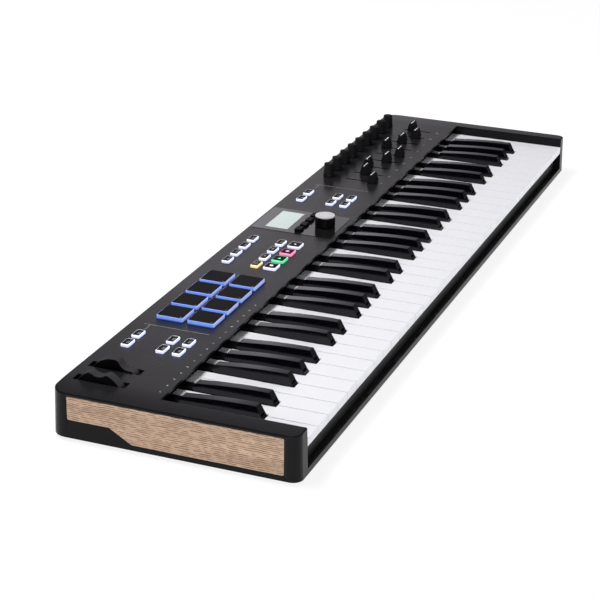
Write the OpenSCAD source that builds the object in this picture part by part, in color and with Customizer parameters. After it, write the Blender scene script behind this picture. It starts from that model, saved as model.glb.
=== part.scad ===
// Keyboard controller with 61 keys, two wheels, eight pads, nine knobs and nine faders,
// lit push buttons and a display, in a low case with a wooden inlay in each end.
// X runs along the keys from low to high, Y from the player to the rear, Z up from the table.

/* [Case] */
// Depth of the control panel behind the keys
panel_d = 97.75; // [94:0.25:130]
// Height of the case without its feet
case_h = 43.5; // [42:0.5:60]
// Width of each end cheek
cheek_w = 19; // [17:0.5:30]
// Radius of the upright corners at the front
corner_r = 9.5; // [8:0.5:16]
// Radius of the upright corners at the rear
rear_corner_r = 15; // [8:0.5:16]
// Radius of the top edge all round
edge_r = 1.2; // [0.4:0.1:2]
// Wall of the moulded case
wall = 2.5; // [2:0.1:3]
// Thickness of the control panel
panel_t = 2.5; // [2.2:0.1:3]
// Height of the lip below the key fronts
lip_h = 5.5; // [3:0.5:8]
// Thickness of the bottom plate
plate_t = 2; // [1:0.1:2.4]
// Height of the rubber feet
foot_h = 3.5; // [2:0.5:6]
// Radius of the rubber feet
foot_r = 8; // [5:0.5:10]

/* [Wooden inlays] */
// Thickness of an inlay
wood_t = 2.8; // [2:0.1:4]
// Depth that an inlay sits below the end face
wood_sunk = 0.2; // [0.1:0.1:0.6]
// Margin between an inlay and the case top
wood_top = 4.3; // [3:0.1:8]
// Margin between an inlay and the case bottom at the front
wood_bottom = 4.9; // [3:0.1:8]
// Margin between an inlay and the case front
wood_front = 14; // [13:0.5:30]
// Margin between an inlay and the case rear
wood_rear = 18; // [15:0.5:30]
// Height of the step in the lower edge towards the rear
wood_step = 12.3; // [6:0.1:18]
// Distance of the step's top from the rear end of the inlay
wood_step_back = 40; // [30:1:80]
// Run of the sloped part of the step
wood_slope = 21; // [5:1:40]

/* [Keys] */
// Distance from one white key to the next
white_pitch = 23.5; // [23:0.1:28.5]
// Gap between neighbouring white keys
key_gap = 0.9; // [0.6:0.1:1.3]
// Visible length of a white key
key_len = 133.25; // [125:0.25:160]
// Depth of the white key tops below the case top
key_drop = 10.2; // [9:0.1:11]
// Height of a white key's front lip
key_lip = 8.1; // [7:0.1:8.5]
// Thickness of a key's top
key_skin = 2.5; // [1.5:0.1:3]
// Thickness of a key's sides
key_wall = 1.8; // [1.2:0.1:2]
// Width of a black key at its foot
black_w = 11; // [9.5:0.1:11.4]
// Width of a black key's top
black_top_w = 8.4; // [7:0.1:9.4]
// Length of a black key at its foot
black_len = 76; // [70:0.5:80]
// Run of a black key's sloped front
black_slope = 6; // [2:0.5:10]
// Height of the black key tops above the case top
black_over = 0.4; // [0:0.1:3]
// Radius of the lengthwise curve of a black key's top
black_crown_r = 500; // [400:10:2000]
// Run of a black key's steep rear end
black_tail_run = 4; // [2:0.5:6]
// Gap between a black key and its white neighbours
black_gap = 1; // [0.6:0.1:1.4]
// Travel of a white key at its front edge
key_travel = 10; // [6:0.5:10]
// Distance of the pivot rod behind the panel's front edge
pivot_back = 27.75; // [24:0.25:34]
// Radius of the pivot rod
rod_r = 1.5; // [1:0.1:2.2]

/* [Wheels] */
// Radius of a wheel
wheel_r = 24.5; // [22:0.5:24.5]
// Width of a wheel
wheel_w = 9.6; // [8:0.1:12]
// Side gap between a wheel and its slot
wheel_side_gap = 0.7; // [0.5:0.1:1.5]
// Length of a wheel slot
wheel_slot_len = 51.5; // [45:0.5:56]
// Depth of the wheel axle below the case top
wheel_sink = 14.5; // [13:0.5:16]
// Gap between the wheels
wheel_gap = 18.9; // [16:0.1:24]
// Radius of the thumb notch
notch_r = 10; // [6:0.5:14]
// Depth of the thumb notch
notch_depth = 4.5; // [2:0.1:5]
// Radius of the shoulders beside the thumb notch
shoulder_r = 5; // [2:0.5:8]
// Turn of the modulation wheel towards the player at its lower end
mod_tilt = 30; // [15:1:35]
// Radius of the wheel axle
axle_r = 2.5; // [1.5:0.1:3]

/* [Pads and buttons] */
// Side of a pad
pad_side = 28; // [23:0.1:34]
// Gap between pads along the keys
pad_gap_x = 4; // [3.2:0.1:6]
// Gap between pads from front to rear
pad_gap_y = 3.5; // [3.2:0.1:5]
// Height of a pad above the panel
pad_rise = 4; // [2:0.5:6]
// Travel of a pad
pad_travel = 0.8; // [0.4:0.1:0.9]
// Length of a button along the keys
button_w = 15.5; // [12:0.1:19]
// Depth of a small button
button_d = 9.7; // [8:0.1:11]
// Depth of a wide button
wide_d = 14; // [12:0.1:16]
// Height of the buttons above the panel
button_rise = 3; // [2:0.1:4]
// Travel of a button
button_travel = 0.6; // [0.3:0.1:0.6]
// Corner radius of the buttons
button_r = 1.6; // [0.5:0.1:2.5]
// Gap between buttons along the keys
button_gap = 5.9; // [4:0.1:8]
// Gap between rows of small buttons
button_row_gap = 6.3; // [4:0.1:9]
// Gap between the wide buttons and the row behind them
wide_row_gap = 3.95; // [3:0.05:6]

/* [Display] */
// Width of the display window
window_w = 66.5; // [60:0.5:75]
// Depth of the display window
window_d = 88.5; // [86:0.5:90]
// Thickness of the display window
window_t = 1.6; // [1:0.1:2]
// Height of the display window above the panel
window_proud = 0.3; // [0:0.1:0.6]
// Width of the lit screen
screen_w = 50.8; // [40:0.1:52]
// Depth of the lit screen
screen_d = 25.2; // [20:0.1:26]
// Width of a button under the screen
soft_w = 11; // [8:0.1:12]
// Depth of a button under the screen
soft_d = 7.5; // [5:0.1:8]
// Gap between the buttons under the screen
soft_gap = 4; // [3:0.1:5]
// Radius of the encoder knob
encoder_r = 10.7; // [8:0.1:13]
// Height of the encoder knob
encoder_h = 11.5; // [9:0.1:16]

/* [Knobs and faders] */
// Number of knobs and of faders
strip_count = 9; // [9]
// Distance from one knob or fader to the next
strip_pitch = 25.7; // [22:0.1:26]
// Height of a knob above the panel
knob_h = 15.5; // [11:0.5:18]
// Radius of a knob at its foot
knob_r = 6.4; // [5.5:0.1:8]
// Radius of a knob at its top
knob_top_r = 5.4; // [4:0.05:5.5]
// Length of a fader's travel
fader_travel = 30; // [20:1:36]
// Length of a fader cap along the keys
fader_w = 14; // [10:0.5:16]
// Depth of a fader cap at its foot
fader_d = 9.5; // [7:0.1:11]
// Depth of a fader cap at its top
fader_top_d = 4.6; // [3:0.1:6]
// Height of a fader cap above the panel
fader_h = 10.7; // [8:0.1:14]

/* [Hidden] */
$fn = 64;

// Free space between pieces that run in one another, that slip together, and that are let in
run_gap = 0.05;
slip_gap = 0.25;
air_gap = 0.3;

// Keyboard compass: five octaves and a last C
octaves = 5;
white_count = 7 * octaves + 1;
key_count = 12 * octaves + 1;
white_steps = [0, 0, 1, 1, 2, 3, 3, 4, 4, 5, 5, 6];
black_classes = [1, 3, 6, 8, 10];
black_shifts = [0, -2.3, 0, 2.3, 0, 0, -3.2, 0, 0, 0, 3.2, 0];

// Overall sizes
slot_gap = 1;
front_inset = 1;
slot_w = white_count * white_pitch + 2 * slot_gap;
case_w = slot_w + 2 * cheek_w;
case_d = panel_d + key_len + front_inset;
rear_y = case_d / 2;
front_y = -case_d / 2;
panel_y = rear_y - panel_d;
left_x = -slot_w / 2;
right_x = slot_w / 2;
end_wall = wood_t + wood_sunk + wall;
corner_max_r = max(corner_r, rear_corner_r);

// Levels of the case
case_z = foot_h;
floor_z = case_z + plate_t;
top_z = case_z + case_h;
under_z = top_z - panel_t;

// Levels and lengths of the keys
key_x = left_x + slot_gap;
key_z = top_z - key_drop;
lip_z = key_z - key_lip;
key_front = front_y + front_inset;
head_len = 46;
head_y = key_front + head_len;
black_front = head_y + black_gap;
black_back = black_front + black_len;
black_z = top_z + black_over;
black_hollow_z = key_z + 3;
black_foot_drop = 2;
black_head = black_front + black_slope;
black_crest_run = 6;
black_crest_y = black_head + black_crest_run;
black_end = black_back - black_tail_run;
black_steps = 8;
white_back = panel_y + 5;
pivot_y = panel_y + pivot_back;
pivot_z = lip_z - 0.2;
eye_r = 4;
tail_w = 9;
tail_in = 8;
key_angle = asin(key_travel / (pivot_y - key_front));
function key_fall(y) = (pivot_y - y) * sin(key_angle);

// Keybed chassis: a deck on legs, with a lower shelf under the key fronts
sheet_t = 2.4;
deck_z = lip_z - 9.2;
chassis_w = slot_w - 2 * slot_gap;
shelf_front = key_front + 8;
shelf_back = key_front + 27;
felt_t = 2.5;
shelf_z = lip_z - key_fall(shelf_front) - felt_t - air_gap;
chassis_back = pivot_y + 8;
rib_t = 2;
rib_half = 6;
rib_top = pivot_z + 4.5;
mid_leg_y = key_front + 85;

// Hooks that hold the keys down to the deck, with the felts above their feet
hook_w = 4;
hook_t = 3;
hook_foot = 4;
hook_foot_t = 2;
stop_felt_t = 1.2;
hook_top = deck_z - sheet_t - stop_felt_t - air_gap;
white_hook_y = key_front + 37;
black_hook_y = black_front + 12;
hook_slot_w = hook_w + 2;
hook_slot_front = 0.8;
hook_slot_back = 1.6;

// Contacts under the keys
board_t = 1.6;
contact_y = key_front + 95;
contact_d = 28;
contact_gap = 4;
strip_d = 12;
strip_t = 0.8;
dome_r = 3;
dome_z = lip_z - 2.9;
presser_t = 4;

// Leaf springs under the key tails
leaf_t = 0.4;
leaf_w = 5;
leaf_foot = 6;
leaf_run = 14;
leaf_back = pivot_y - 8;

// Wheels, counted from the left end of the key slot
wheel_slot_w = wheel_w + 2 * wheel_side_gap;
wheel_slot_left = 6.8;
first_wheel_x = left_x + wheel_slot_left + wheel_slot_w / 2;
wheel_x = [first_wheel_x, first_wheel_x + wheel_w + wheel_gap];
wheel_y = rear_y - 34.75;
wheel_z = top_z - wheel_sink;
wheel_hub_r = 6;
wheel_rim_r = wheel_r - notch_depth - 3;
wheel_web = 4.6;
bracket_t = 3;
bracket_half = 8;
bracket_base_d = 46;
bracket_base_t = 2;
spring_wire_r = 0.5;
spring_turns = 5;
spring_r = axle_r + run_gap + 3 * spring_wire_r;

// Boards under the panel and on the floor
control_top = under_z - 5.5;
control_front = rear_y - 83;
control_back = rear_y - 11;
post_r = 2.5;
post_in = 4;
main_board_w = 200;
main_board_d = 46;
main_board_back = rear_y - wall - 1;
main_stand = 6;
main_stand_r = 3;
main_stand_in = 5;
main_top = floor_z + main_stand + board_t;
board_over = 13;
board_in = 11.45;
strip_over = 17.5;

// Pads and buttons
flange = 1.2;
flange_t = 1.1;
flange_top = under_z - slip_gap;
pad_pitch_x = pad_side + pad_gap_x;
pad_pitch_y = pad_side + pad_gap_y;
pad_rear = 20.1;
pad_y0 = rear_y - pad_rear - pad_pitch_y - pad_side / 2;
pad_r = 1.5;
pad_bottom = control_top + 2.9;
pad_sensor_top = pad_bottom - pad_travel - 0.1;
plunger_r = 1.5;
plunger_bottom = control_top + 3.3;
switch_side = 6;
switch_top = plunger_bottom - button_travel - 0.1;
button_pitch = button_w + button_gap;
upper_row_y = rear_y - 22.3;
quad_row_y = [rear_y - 57, rear_y - 57 - button_d - button_row_gap];
transport_row_y = rear_y - 53.7;
wide_row_y = transport_row_y - (button_d + wide_d) / 2 - wide_row_gap;

// Groups of controls along the panel, each counted from the one to its left
left_bank_in = 81.85;
bank_to_pads = 32.25;
pads_to_bank = 29.45;
bank_to_window = 28.5;
window_to_bank = 26.5;
left_bank_x = left_x + left_bank_in + button_w / 2;
pad_x0 = left_bank_x + button_pitch + button_w / 2 + bank_to_pads + pad_side / 2;
middle_bank_x = pad_x0 + 3 * pad_pitch_x + pad_side / 2 + pads_to_bank + button_w / 2;
window_x = middle_bank_x + 3 * button_pitch + button_w / 2 + bank_to_window + window_w / 2;
right_bank_x = window_x + window_w / 2 + window_to_bank + button_w / 2;
right_bank_end = right_bank_x + button_pitch + button_w / 2;

// Display strip
window_y = rear_y - 48.25;
window_r = 1.5;
screen_y = rear_y - 29.9;
soft_y = rear_y - 55;
encoder_y = rear_y - 75.5;
lcd_margin = 4;
lcd_t = 4;
lcd_glass_t = 1;
encoder_side = 12;
encoder_bush_r = 4.2;
encoder_shaft_r = 3;
encoder_push = 0.5;
encoder_roof = 2;
encoder_groove = 0.8;
encoder_groove_z = 2.2;
encoder_groove_h = 0.6;
encoder_edge = 0.5;
encoder_well = 3.4;

// Knobs and faders, counted from the right end of the key slot, each fader at a place of its own
last_strip_in = 40.9;
strip_x0 = right_x - last_strip_in - (strip_count - 1) * strip_pitch;
knob_y = rear_y - 20.5;
fader_y = rear_y - 59.4;
fader_rest = [42.3, 60.2, 66.1, 52.2, 45.2, 70.0, 59.1, 50.0, 62.9];
fader_rest_mid = 56.6;
stem_t = 1.4;
stem_d = 4;
fader_slot_w = stem_t + 1.2;
fader_body_w = 9;
fader_body_end = 6;
pot_w = 10;
pot_top = under_z - 0.6;
pot_floor = 0.6;
bush_r = 3.4;
bush_rise = 2;
knob_shaft_r = 2.5;
cap_gap = 0.6;
knob_skirt = 1.4;
knob_skirt_in = 0.2;
knob_edge = 0.5;
knob_roof = 2;
pointer_w = 0.8;
fader_foot = 1.5;
fader_edge = 0.5;
fader_floor = 1.2;
fader_stem_gap = 0.4;

// Rear sockets
usb_x = -42;
midi_x = -8;
pedal_x = 32;
usb_w = 9;
usb_h = 3.3;
usb_len = 8;
usb_depth = 6.5;
usb_shell = 0.35;
usb_tongue = [6.7, 0.7];
usb_cut = 0.7;
midi_side = 19;
midi_len = 15;
midi_r = 8.5;
midi_groove = [6.6, 7.5];
midi_depth = 8;
midi_pins = 5;
midi_pin_r = 0.8;
midi_pin_ring = 4.4;
pedal_side = 12;
pedal_bush_r = 4.9;
pedal_bore_r = 3.25;
pedal_depth = 26;
socket_sunk = 0.3;

// Feet
foot_in_x = 25;
foot_front = 20;
foot_rear = 24;
foot_taper = 1;

// Screws and bosses
boss_r = 3;
screw_r = 1.45;
screw_len = 12;
screw_head_r = 2.8;
screw_head_t = 1.3;
cheek_boss_x = slot_w / 2 + (cheek_w - end_wall + wall) / 2;
cheek_boss_y = [front_y + 21, 0, rear_y - 56];
rear_boss_y = rear_y - 6.5;
rear_boss_x = [-340, -150, 140, 345];
chassis_boss_r = 4;
chassis_boss_y = key_front + 120;
chassis_boss_x = [-360, -180, 0, 180, 360];

case_black = [0.13, 0.13, 0.14];
key_white = [0.95, 0.95, 0.97];
key_black = [0.04, 0.04, 0.05];
rubber_black = [0.08, 0.08, 0.09];
steel = [0.7, 0.72, 0.74];
board_green = [0.08, 0.32, 0.2];
felt_dark = [0.12, 0.11, 0.12];
lit_white = [0.85, 0.86, 1];
screen_grey = [0.8, 0.85, 0.83];
contact_grey = [0.3, 0.3, 0.32];
oak = [0.78, 0.65, 0.5];

key_nodes = ["key_c", "key_c_sharp", "key_d", "key_d_sharp", "key_e", "key_f", "key_f_sharp",
    "key_g", "key_g_sharp", "key_a", "key_a_sharp", "key_b"];

// Places of the keys, by semitones from the lowest C
function is_black(n) = len(search(n % 12, black_classes)) > 0;
function white_index(n) = floor(n / 12) * 7 + white_steps[n % 12];
function black_mid(n) = key_x + (white_index(n) + 1) * white_pitch + black_shifts[n % 12];
function black_at(n) = n > 0 && n < key_count - 1 && is_black(n);
function white_left(n) = key_x + white_index(n) * white_pitch + key_gap / 2;
function white_right(n) = white_left(n) + white_pitch - key_gap;
function waist_left(n) = black_at(n - 1) ? black_mid(n - 1) + black_w / 2 + black_gap : white_left(n);
function waist_right(n) = black_at(n + 1) ? black_mid(n + 1) - black_w / 2 - black_gap : white_right(n);
function key_mid(n) = is_black(n) ? black_mid(n) : (waist_left(n) + waist_right(n)) / 2;
function hook_mid(n) = is_black(n) ? black_mid(n) : (white_left(n) + white_right(n)) / 2;
function hook_y(n) = is_black(n) ? black_hook_y : white_hook_y;

// Places of the controls
function strip_x(i) = strip_x0 + i * strip_pitch;
function fader_rest_y(i) = fader_y + fader_rest[i] - fader_rest_mid;
pad_places = [for (i = [0:3], j = [0:1]) [pad_x0 + i * pad_pitch_x, pad_y0 + j * pad_pitch_y]];
function bank(x, y, count) = [for (i = [0:count - 1]) [x + i * button_pitch, y]];
button_places = concat(
    bank(left_bank_x, upper_row_y, 2), bank(left_bank_x, quad_row_y[0], 2),
    bank(left_bank_x, quad_row_y[1], 2), bank(middle_bank_x, upper_row_y, 4),
    bank(middle_bank_x, transport_row_y, 4), bank(right_bank_x, upper_row_y, 2),
    bank(right_bank_x, quad_row_y[0], 2), bank(right_bank_x, quad_row_y[1], 2));
wide_places = bank(middle_bank_x, wide_row_y, 4);
soft_places = [for (i = [-1.5:1:1.5]) [window_x + i * (soft_w + soft_gap), soft_y]];
boards = [
    [left_bank_x - button_w / 2 - board_over, middle_bank_x - button_w / 2 - pads_to_bank + board_over],
    [middle_bank_x - button_w / 2 - board_in, right_bank_end + board_in],
    [strip_x0 - strip_over, strip_x(strip_count - 1) + strip_over]];
board_posts = [for (b = boards, x = [b[0] + post_in, b[1] - post_in],
    y = [control_front + post_in, control_back - post_in]) [x, y]];
case_bosses = concat(
    [for (s = [-1, 1], y = cheek_boss_y) [s * cheek_boss_x, y]],
    [for (x = rear_boss_x) [x, rear_boss_y]]);
chassis_bosses = [for (x = chassis_boss_x) [x, chassis_boss_y]];

// Rectangle with round corners, centred
module rounded_rect(w, d, r) {
    square([w - 2 * r, d], center = true);
    square([w, d - 2 * r], center = true);
    for (x = [-1, 1], y = [-1, 1]) {
        translate([x * (w / 2 - r), y * (d / 2 - r)]) circle(r);
    }
}

// Block between two corners
module block(low, high) {
    translate(low) cube(high - low);
}

// Outline given in Y and Z, drawn out along X and centred there
module along_x(length) {
    rotate([90, 0, 90]) linear_extrude(length, center = true) children();
}

// Outline given in X and Z, drawn out from y1 to y2
module along_y(y1, y2) {
    translate([0, y2, 0]) rotate([90, 0, 0]) linear_extrude(y2 - y1) children();
}

// Section of the case's outer edge: an upright side with a round top
module edge_section(run) {
    square([run - edge_r, case_h]);
    square([run, case_h - edge_r]);
    translate([run - edge_r, case_h - edge_r]) circle(edge_r);
}

// Long side of the case with its two quarter-round corners, for the rear
module case_side(r) {
    half_w = case_w / 2 - r;
    translate([0, case_d / 2 - r, case_z]) {
        rotate([90, 0, 90]) linear_extrude(2 * half_w, center = true) edge_section(r);
        translate([half_w, 0, 0]) rotate_extrude(angle = 90) edge_section(r);
        translate([-half_w, 0, 0]) rotate(90) rotate_extrude(angle = 90) edge_section(r);
    }
}

// Outer form of the case: a core, two ends, and the rear and front with their corners
module case_block() {
    half_w = case_w / 2 - corner_max_r;
    front_end = front_y + corner_r;
    rear_end = rear_y - rear_corner_r;
    block([-half_w, front_end, case_z], [half_w, rear_end, top_z]);
    for (s = [0, 1]) mirror([s, 0, 0])
        translate([half_w, 0, case_z]) along_y(front_end, rear_end) edge_section(corner_max_r);
    case_side(rear_corner_r);
    rotate(180) case_side(corner_r);
}

// Case: outer shell with the panel, cheeks, rear wall and front lip
module case_shell() {
    inner_w = case_w - 2 * end_wall;
    inner_d = case_d - 2 * wall;
    difference() {
        case_block();
        translate([0, 0, case_z - 1]) linear_extrude(under_z - case_z + 1)
            rounded_rect(inner_w, inner_d, corner_max_r - wall);
        block([left_x, front_y - 1, case_z + lip_h], [right_x, panel_y, top_z + 1]);
    }
}

module cheek_walls() {
    for (s = [0, 1]) mirror([s, 0, 0])
        block([right_x, front_y + wall / 2, floor_z], [right_x + wall, panel_y, under_z + panel_t / 2]);
}

module case_posts() {
    for (p = case_bosses) {
        translate([p[0], p[1], floor_z]) cylinder(r = boss_r, h = under_z + panel_t / 2 - floor_z);
    }
    for (p = board_posts) {
        translate([p[0], p[1], control_top]) cylinder(r = post_r, h = under_z + panel_t / 2 - control_top);
    }
}

// Openings of the panel, seen from above
module panel_openings() {
    for (x = wheel_x) translate([x, wheel_y]) square([wheel_slot_w, wheel_slot_len], center = true);
    for (p = pad_places) translate(p) rounded_rect(pad_side + 2 * slip_gap, pad_side + 2 * slip_gap, pad_r);
    for (p = button_places) translate(p) button_outline(button_w, button_d, slip_gap);
    for (p = wide_places) translate(p) button_outline(button_w, wide_d, slip_gap);
    for (i = [0:strip_count - 1]) {
        translate([strip_x(i), knob_y]) circle(bush_r + 2 * slip_gap);
        translate([strip_x(i), fader_y])
            square([fader_slot_w, fader_travel + stem_d + 2 * slip_gap], center = true);
    }
    window_openings();
    translate([window_x, screen_y]) square([screen_w + lcd_margin, screen_d + lcd_margin], center = true);
}

module window_openings() {
    for (p = soft_places) translate(p) button_outline(soft_w, soft_d, slip_gap);
    translate([window_x, encoder_y]) circle(encoder_bush_r + 2 * slip_gap);
}

module button_outline(w, d, grow) {
    rounded_rect(w + 2 * grow, d + 2 * grow, button_r);
}

module window_pocket() {
    translate([window_x, window_y, top_z + window_proud - window_t]) linear_extrude(window_t + 1)
        rounded_rect(window_w + 2 * slip_gap, window_d + 2 * slip_gap, window_r);
}

// Inlay outline in Y and Z: a long plate whose lower edge steps up towards the rear
module wood_outline(grow) {
    low = case_z + wood_bottom - grow;
    high = top_z - wood_top + grow;
    front = front_y + wood_front - grow;
    back = rear_y - wood_rear + grow;
    step_y = rear_y - wood_rear - wood_step_back;
    slope_y = step_y - wood_slope;
    mid_y = (front + slope_y) / 2;
    round = 1.5;
    translate([(front + slope_y) / 2, (low + high) / 2]) rounded_rect(slope_y - front, high - low, round);
    translate([(mid_y + back) / 2, (low + wood_step + high) / 2])
        rounded_rect(back - mid_y, high - low - wood_step, round);
    polygon([[mid_y, low], [slope_y, low], [step_y, low + wood_step], [step_y, high], [mid_y, high]]);
}

module wood_pocket() {
    depth = wood_t + wood_sunk;
    translate([case_w / 2 - depth / 2 + 0.5, 0, 0]) along_x(depth + 1) wood_outline(0);
}

module wood_inlay() {
    color(oak) translate([case_w / 2 - wood_sunk - wood_t / 2, 0, 0]) along_x(wood_t) wood_outline(-run_gap);
}

module socket_openings() {
    along_y(rear_y - 2 * wall, rear_y + 1) {
        translate([usb_x, main_top + usb_h / 2])
            rounded_rect(usb_w + 2 * usb_cut, usb_h + 2 * usb_cut, usb_h / 2);
        translate([midi_x, main_top + midi_side / 2]) circle(midi_r + slip_gap);
        translate([pedal_x, main_top + pedal_side / 2]) circle(pedal_bush_r + slip_gap);
    }
}

module screw_pilots(places, r) {
    for (p = places) translate([p[0], p[1], case_z - 1]) cylinder(r = r, h = plate_t + screw_len + 2);
}

module top_case() {
    color(case_black) difference() {
        union() {
            case_shell();
            cheek_walls();
            case_posts();
        }
        translate([0, 0, under_z - 1]) linear_extrude(panel_t + 2) panel_openings();
        window_pocket();
        for (s = [0, 1]) mirror([s, 0, 0]) wood_pocket();
        socket_openings();
        screw_pilots(case_bosses, screw_r + run_gap);
    }
}

module wood_inlay_left() {
    mirror([1, 0, 0]) wood_inlay();
}

module wood_inlay_right() {
    wood_inlay();
}

module bottom_plate() {
    color(case_black) difference() {
        union() {
            translate([0, 0, case_z]) linear_extrude(plate_t)
                rounded_rect(case_w - 2 * (end_wall + slip_gap), case_d - 2 * (wall + slip_gap),
                    corner_max_r - wall);
            for (p = main_board_stands()) translate([p[0], p[1], floor_z - plate_t / 2])
                cylinder(r = main_stand_r, h = main_stand + plate_t / 2);
        }
        screw_pilots(concat(case_bosses, chassis_bosses), screw_r + slip_gap);
    }
}

function main_board_stands() = [for (s = [-1, 1], y = [main_stand_in, main_board_d - main_stand_in])
    [s * (main_board_w / 2 - main_stand_in), main_board_back - y]];

module rubber_feet() {
    places_x = [left_x + foot_in_x, 0, right_x - foot_in_x];
    places_y = [front_y + foot_front, rear_y - foot_rear];
    color(rubber_black) for (x = places_x, y = places_y) translate([x, y, 0])
        cylinder(r1 = foot_r - foot_taper, r2 = foot_r, h = foot_h);
}

module case_screws() {
    color(steel) for (p = concat(case_bosses, chassis_bosses)) translate([p[0], p[1], case_z]) {
        cylinder(r = screw_r, h = plate_t + screw_len);
        translate([0, 0, -screw_head_t]) cylinder(r = screw_head_r, h = screw_head_t);
    }
}

// Display: window, screen module and encoder
module display_window() {
    color(key_black) difference() {
        translate([window_x, window_y, top_z + window_proud - window_t])
            linear_extrude(window_t) rounded_rect(window_w, window_d, window_r);
        translate([0, 0, under_z]) linear_extrude(panel_t + 2) window_openings();
    }
}

module lcd_module() {
    glass_over = lcd_margin - 2 * slip_gap;
    color(screen_grey) translate([window_x, screen_y, under_z - lcd_t]) {
        linear_extrude(lcd_t) square([screen_w + 2 * lcd_margin, screen_d + 2 * lcd_margin], center = true);
        linear_extrude(lcd_t + lcd_glass_t)
            square([screen_w + glass_over, screen_d + glass_over], center = true);
    }
}

module encoder_shaft() {
    foot_z = control_top + pot_floor + encoder_push;
    color(steel) translate([window_x, encoder_y, foot_z + air_gap])
        cylinder(r = encoder_shaft_r, h = top_z + encoder_h - encoder_roof - foot_z);
}

module encoder_knob() {
    foot_z = top_z + window_proud + encoder_push + air_gap;
    shaft_end = top_z + encoder_h - encoder_roof + air_gap;
    knob_z = foot_z + encoder_h + slip_gap;
    groove_r = encoder_r - encoder_groove;
    groove_low = knob_z - encoder_groove_z;
    groove_high = groove_low + encoder_groove_h;
    color(rubber_black) translate([window_x, encoder_y, 0]) difference() {
        rotate_extrude() polygon([[0, foot_z], [encoder_r, foot_z], [encoder_r, groove_low],
            [groove_r, groove_low], [groove_r, groove_high], [encoder_r, groove_high],
            [encoder_r, knob_z - encoder_edge], [encoder_r - encoder_edge, knob_z], [0, knob_z]]);
        translate([0, 0, foot_z - 1])
            cylinder(r = encoder_shaft_r + run_gap, h = shaft_end - foot_z + 1 + air_gap);
        translate([0, 0, foot_z - 1]) cylinder(r = encoder_bush_r + 1, h = encoder_well);
    }
}

// Keybed chassis
module chassis_profile() {
    low = floor_z;
    polygon([[shelf_front, low], [shelf_front + sheet_t, low], [shelf_front + sheet_t, shelf_z - sheet_t],
        [shelf_back + sheet_t, shelf_z - sheet_t], [shelf_back + sheet_t, deck_z - sheet_t],
        [mid_leg_y, deck_z - sheet_t], [mid_leg_y, low], [mid_leg_y + sheet_t, low],
        [mid_leg_y + sheet_t, deck_z - sheet_t], [chassis_back - sheet_t, deck_z - sheet_t],
        [chassis_back - sheet_t, low], [chassis_back, low], [chassis_back, deck_z], [shelf_back, deck_z],
        [shelf_back, shelf_z], [shelf_front, shelf_z]]);
}

function rib_x(n) = n == 0 ? key_mid(0) - (tail_w + rib_t) / 2 - slip_gap
    : n == key_count ? key_mid(n - 1) + (tail_w + rib_t) / 2 + slip_gap
    : (key_mid(n - 1) + key_mid(n)) / 2;

module key_chassis() {
    color(case_black) difference() {
        union() {
            along_x(chassis_w) chassis_profile();
            for (n = [0:key_count]) {
                block([rib_x(n) - rib_t / 2, pivot_y - rib_half, deck_z - sheet_t / 2],
                    [rib_x(n) + rib_t / 2, pivot_y + rib_half, rib_top]);
            }
            for (p = chassis_bosses) translate([p[0], p[1], floor_z])
                cylinder(r = chassis_boss_r, h = deck_z - sheet_t / 2 - floor_z);
        }
        for (n = [0:key_count - 1]) hook_slot(n);
        translate([0, pivot_y, pivot_z]) rotate([0, 90, 0])
            cylinder(r = rod_r + run_gap, h = chassis_w + 2, center = true);
        screw_pilots(chassis_bosses, screw_r + run_gap);
    }
}

module hook_slot(n) {
    block([hook_mid(n) - hook_slot_w / 2, hook_y(n) - hook_t / 2 - hook_slot_front, deck_z - sheet_t - 1],
        [hook_mid(n) + hook_slot_w / 2, hook_y(n) + hook_t / 2 + hook_slot_back, deck_z + 1]);
}

module key_pivot_rod() {
    color(steel) translate([0, pivot_y, pivot_z]) rotate([0, 90, 0])
        cylinder(r = rod_r, h = chassis_w, center = true);
}

module key_stop_felts() {
    color(felt_dark) {
        block([-chassis_w / 2, shelf_front, shelf_z], [chassis_w / 2, shelf_back - 2, shelf_z + felt_t]);
        for (y = [white_hook_y, black_hook_y]) {
            block([-chassis_w / 2, y - hook_t / 2 - hook_foot, deck_z - sheet_t - stop_felt_t],
                [chassis_w / 2, y - hook_t / 2 - hook_slot_front, deck_z - sheet_t]);
        }
    }
}

module key_contact_boards() {
    color(board_green) for (s = [0, 1]) mirror([s, 0, 0])
        block([contact_gap / 2, contact_y - contact_d / 2, deck_z],
            [chassis_w / 2 - 2, contact_y + contact_d / 2, deck_z + board_t]);
}

module key_contact_strips() {
    board_z = deck_z + board_t;
    color(contact_grey) for (o = [0:octaves]) {
        last = min(12 * o + 11, key_count - 1);
        x1 = rib_x(12 * o) + 1;
        x2 = rib_x(last + 1) - 1;
        block([x1, contact_y - strip_d / 2, board_z], [x2, contact_y + strip_d / 2, board_z + strip_t]);
        for (n = [12 * o:last]) translate([key_mid(n), contact_y, board_z + strip_t / 2])
            cylinder(r = dome_r, h = dome_z - board_z - strip_t / 2);
    }
}

module key_return_springs() {
    rise_z = pivot_z - eye_r - air_gap;
    color(steel) for (n = [0:key_count - 1]) translate([key_mid(n), 0, 0]) along_x(leaf_w)
        polygon([[leaf_back, deck_z], [leaf_back, deck_z + leaf_t], [leaf_back - leaf_foot, deck_z + leaf_t],
            [leaf_back - leaf_foot - leaf_run, rise_z], [leaf_back - leaf_foot - leaf_run - leaf_t, rise_z],
            [leaf_back - leaf_foot - leaf_t, deck_z]]);
}

// Keys: a hollow body, a tail with the eye for the rod, a hook and a presser over the contact
module key(n) {
    color(is_black(n) ? key_black : key_white) difference() {
        union() {
            if (is_black(n)) black_body(n);
            else white_body(n);
            key_hook(n);
            key_tail(n, is_black(n) ? black_back : white_back);
        }
        translate([key_mid(n), pivot_y, pivot_z]) rotate([0, 90, 0])
            cylinder(r = rod_r + run_gap, h = tail_w + 2, center = true);
    }
}

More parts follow.
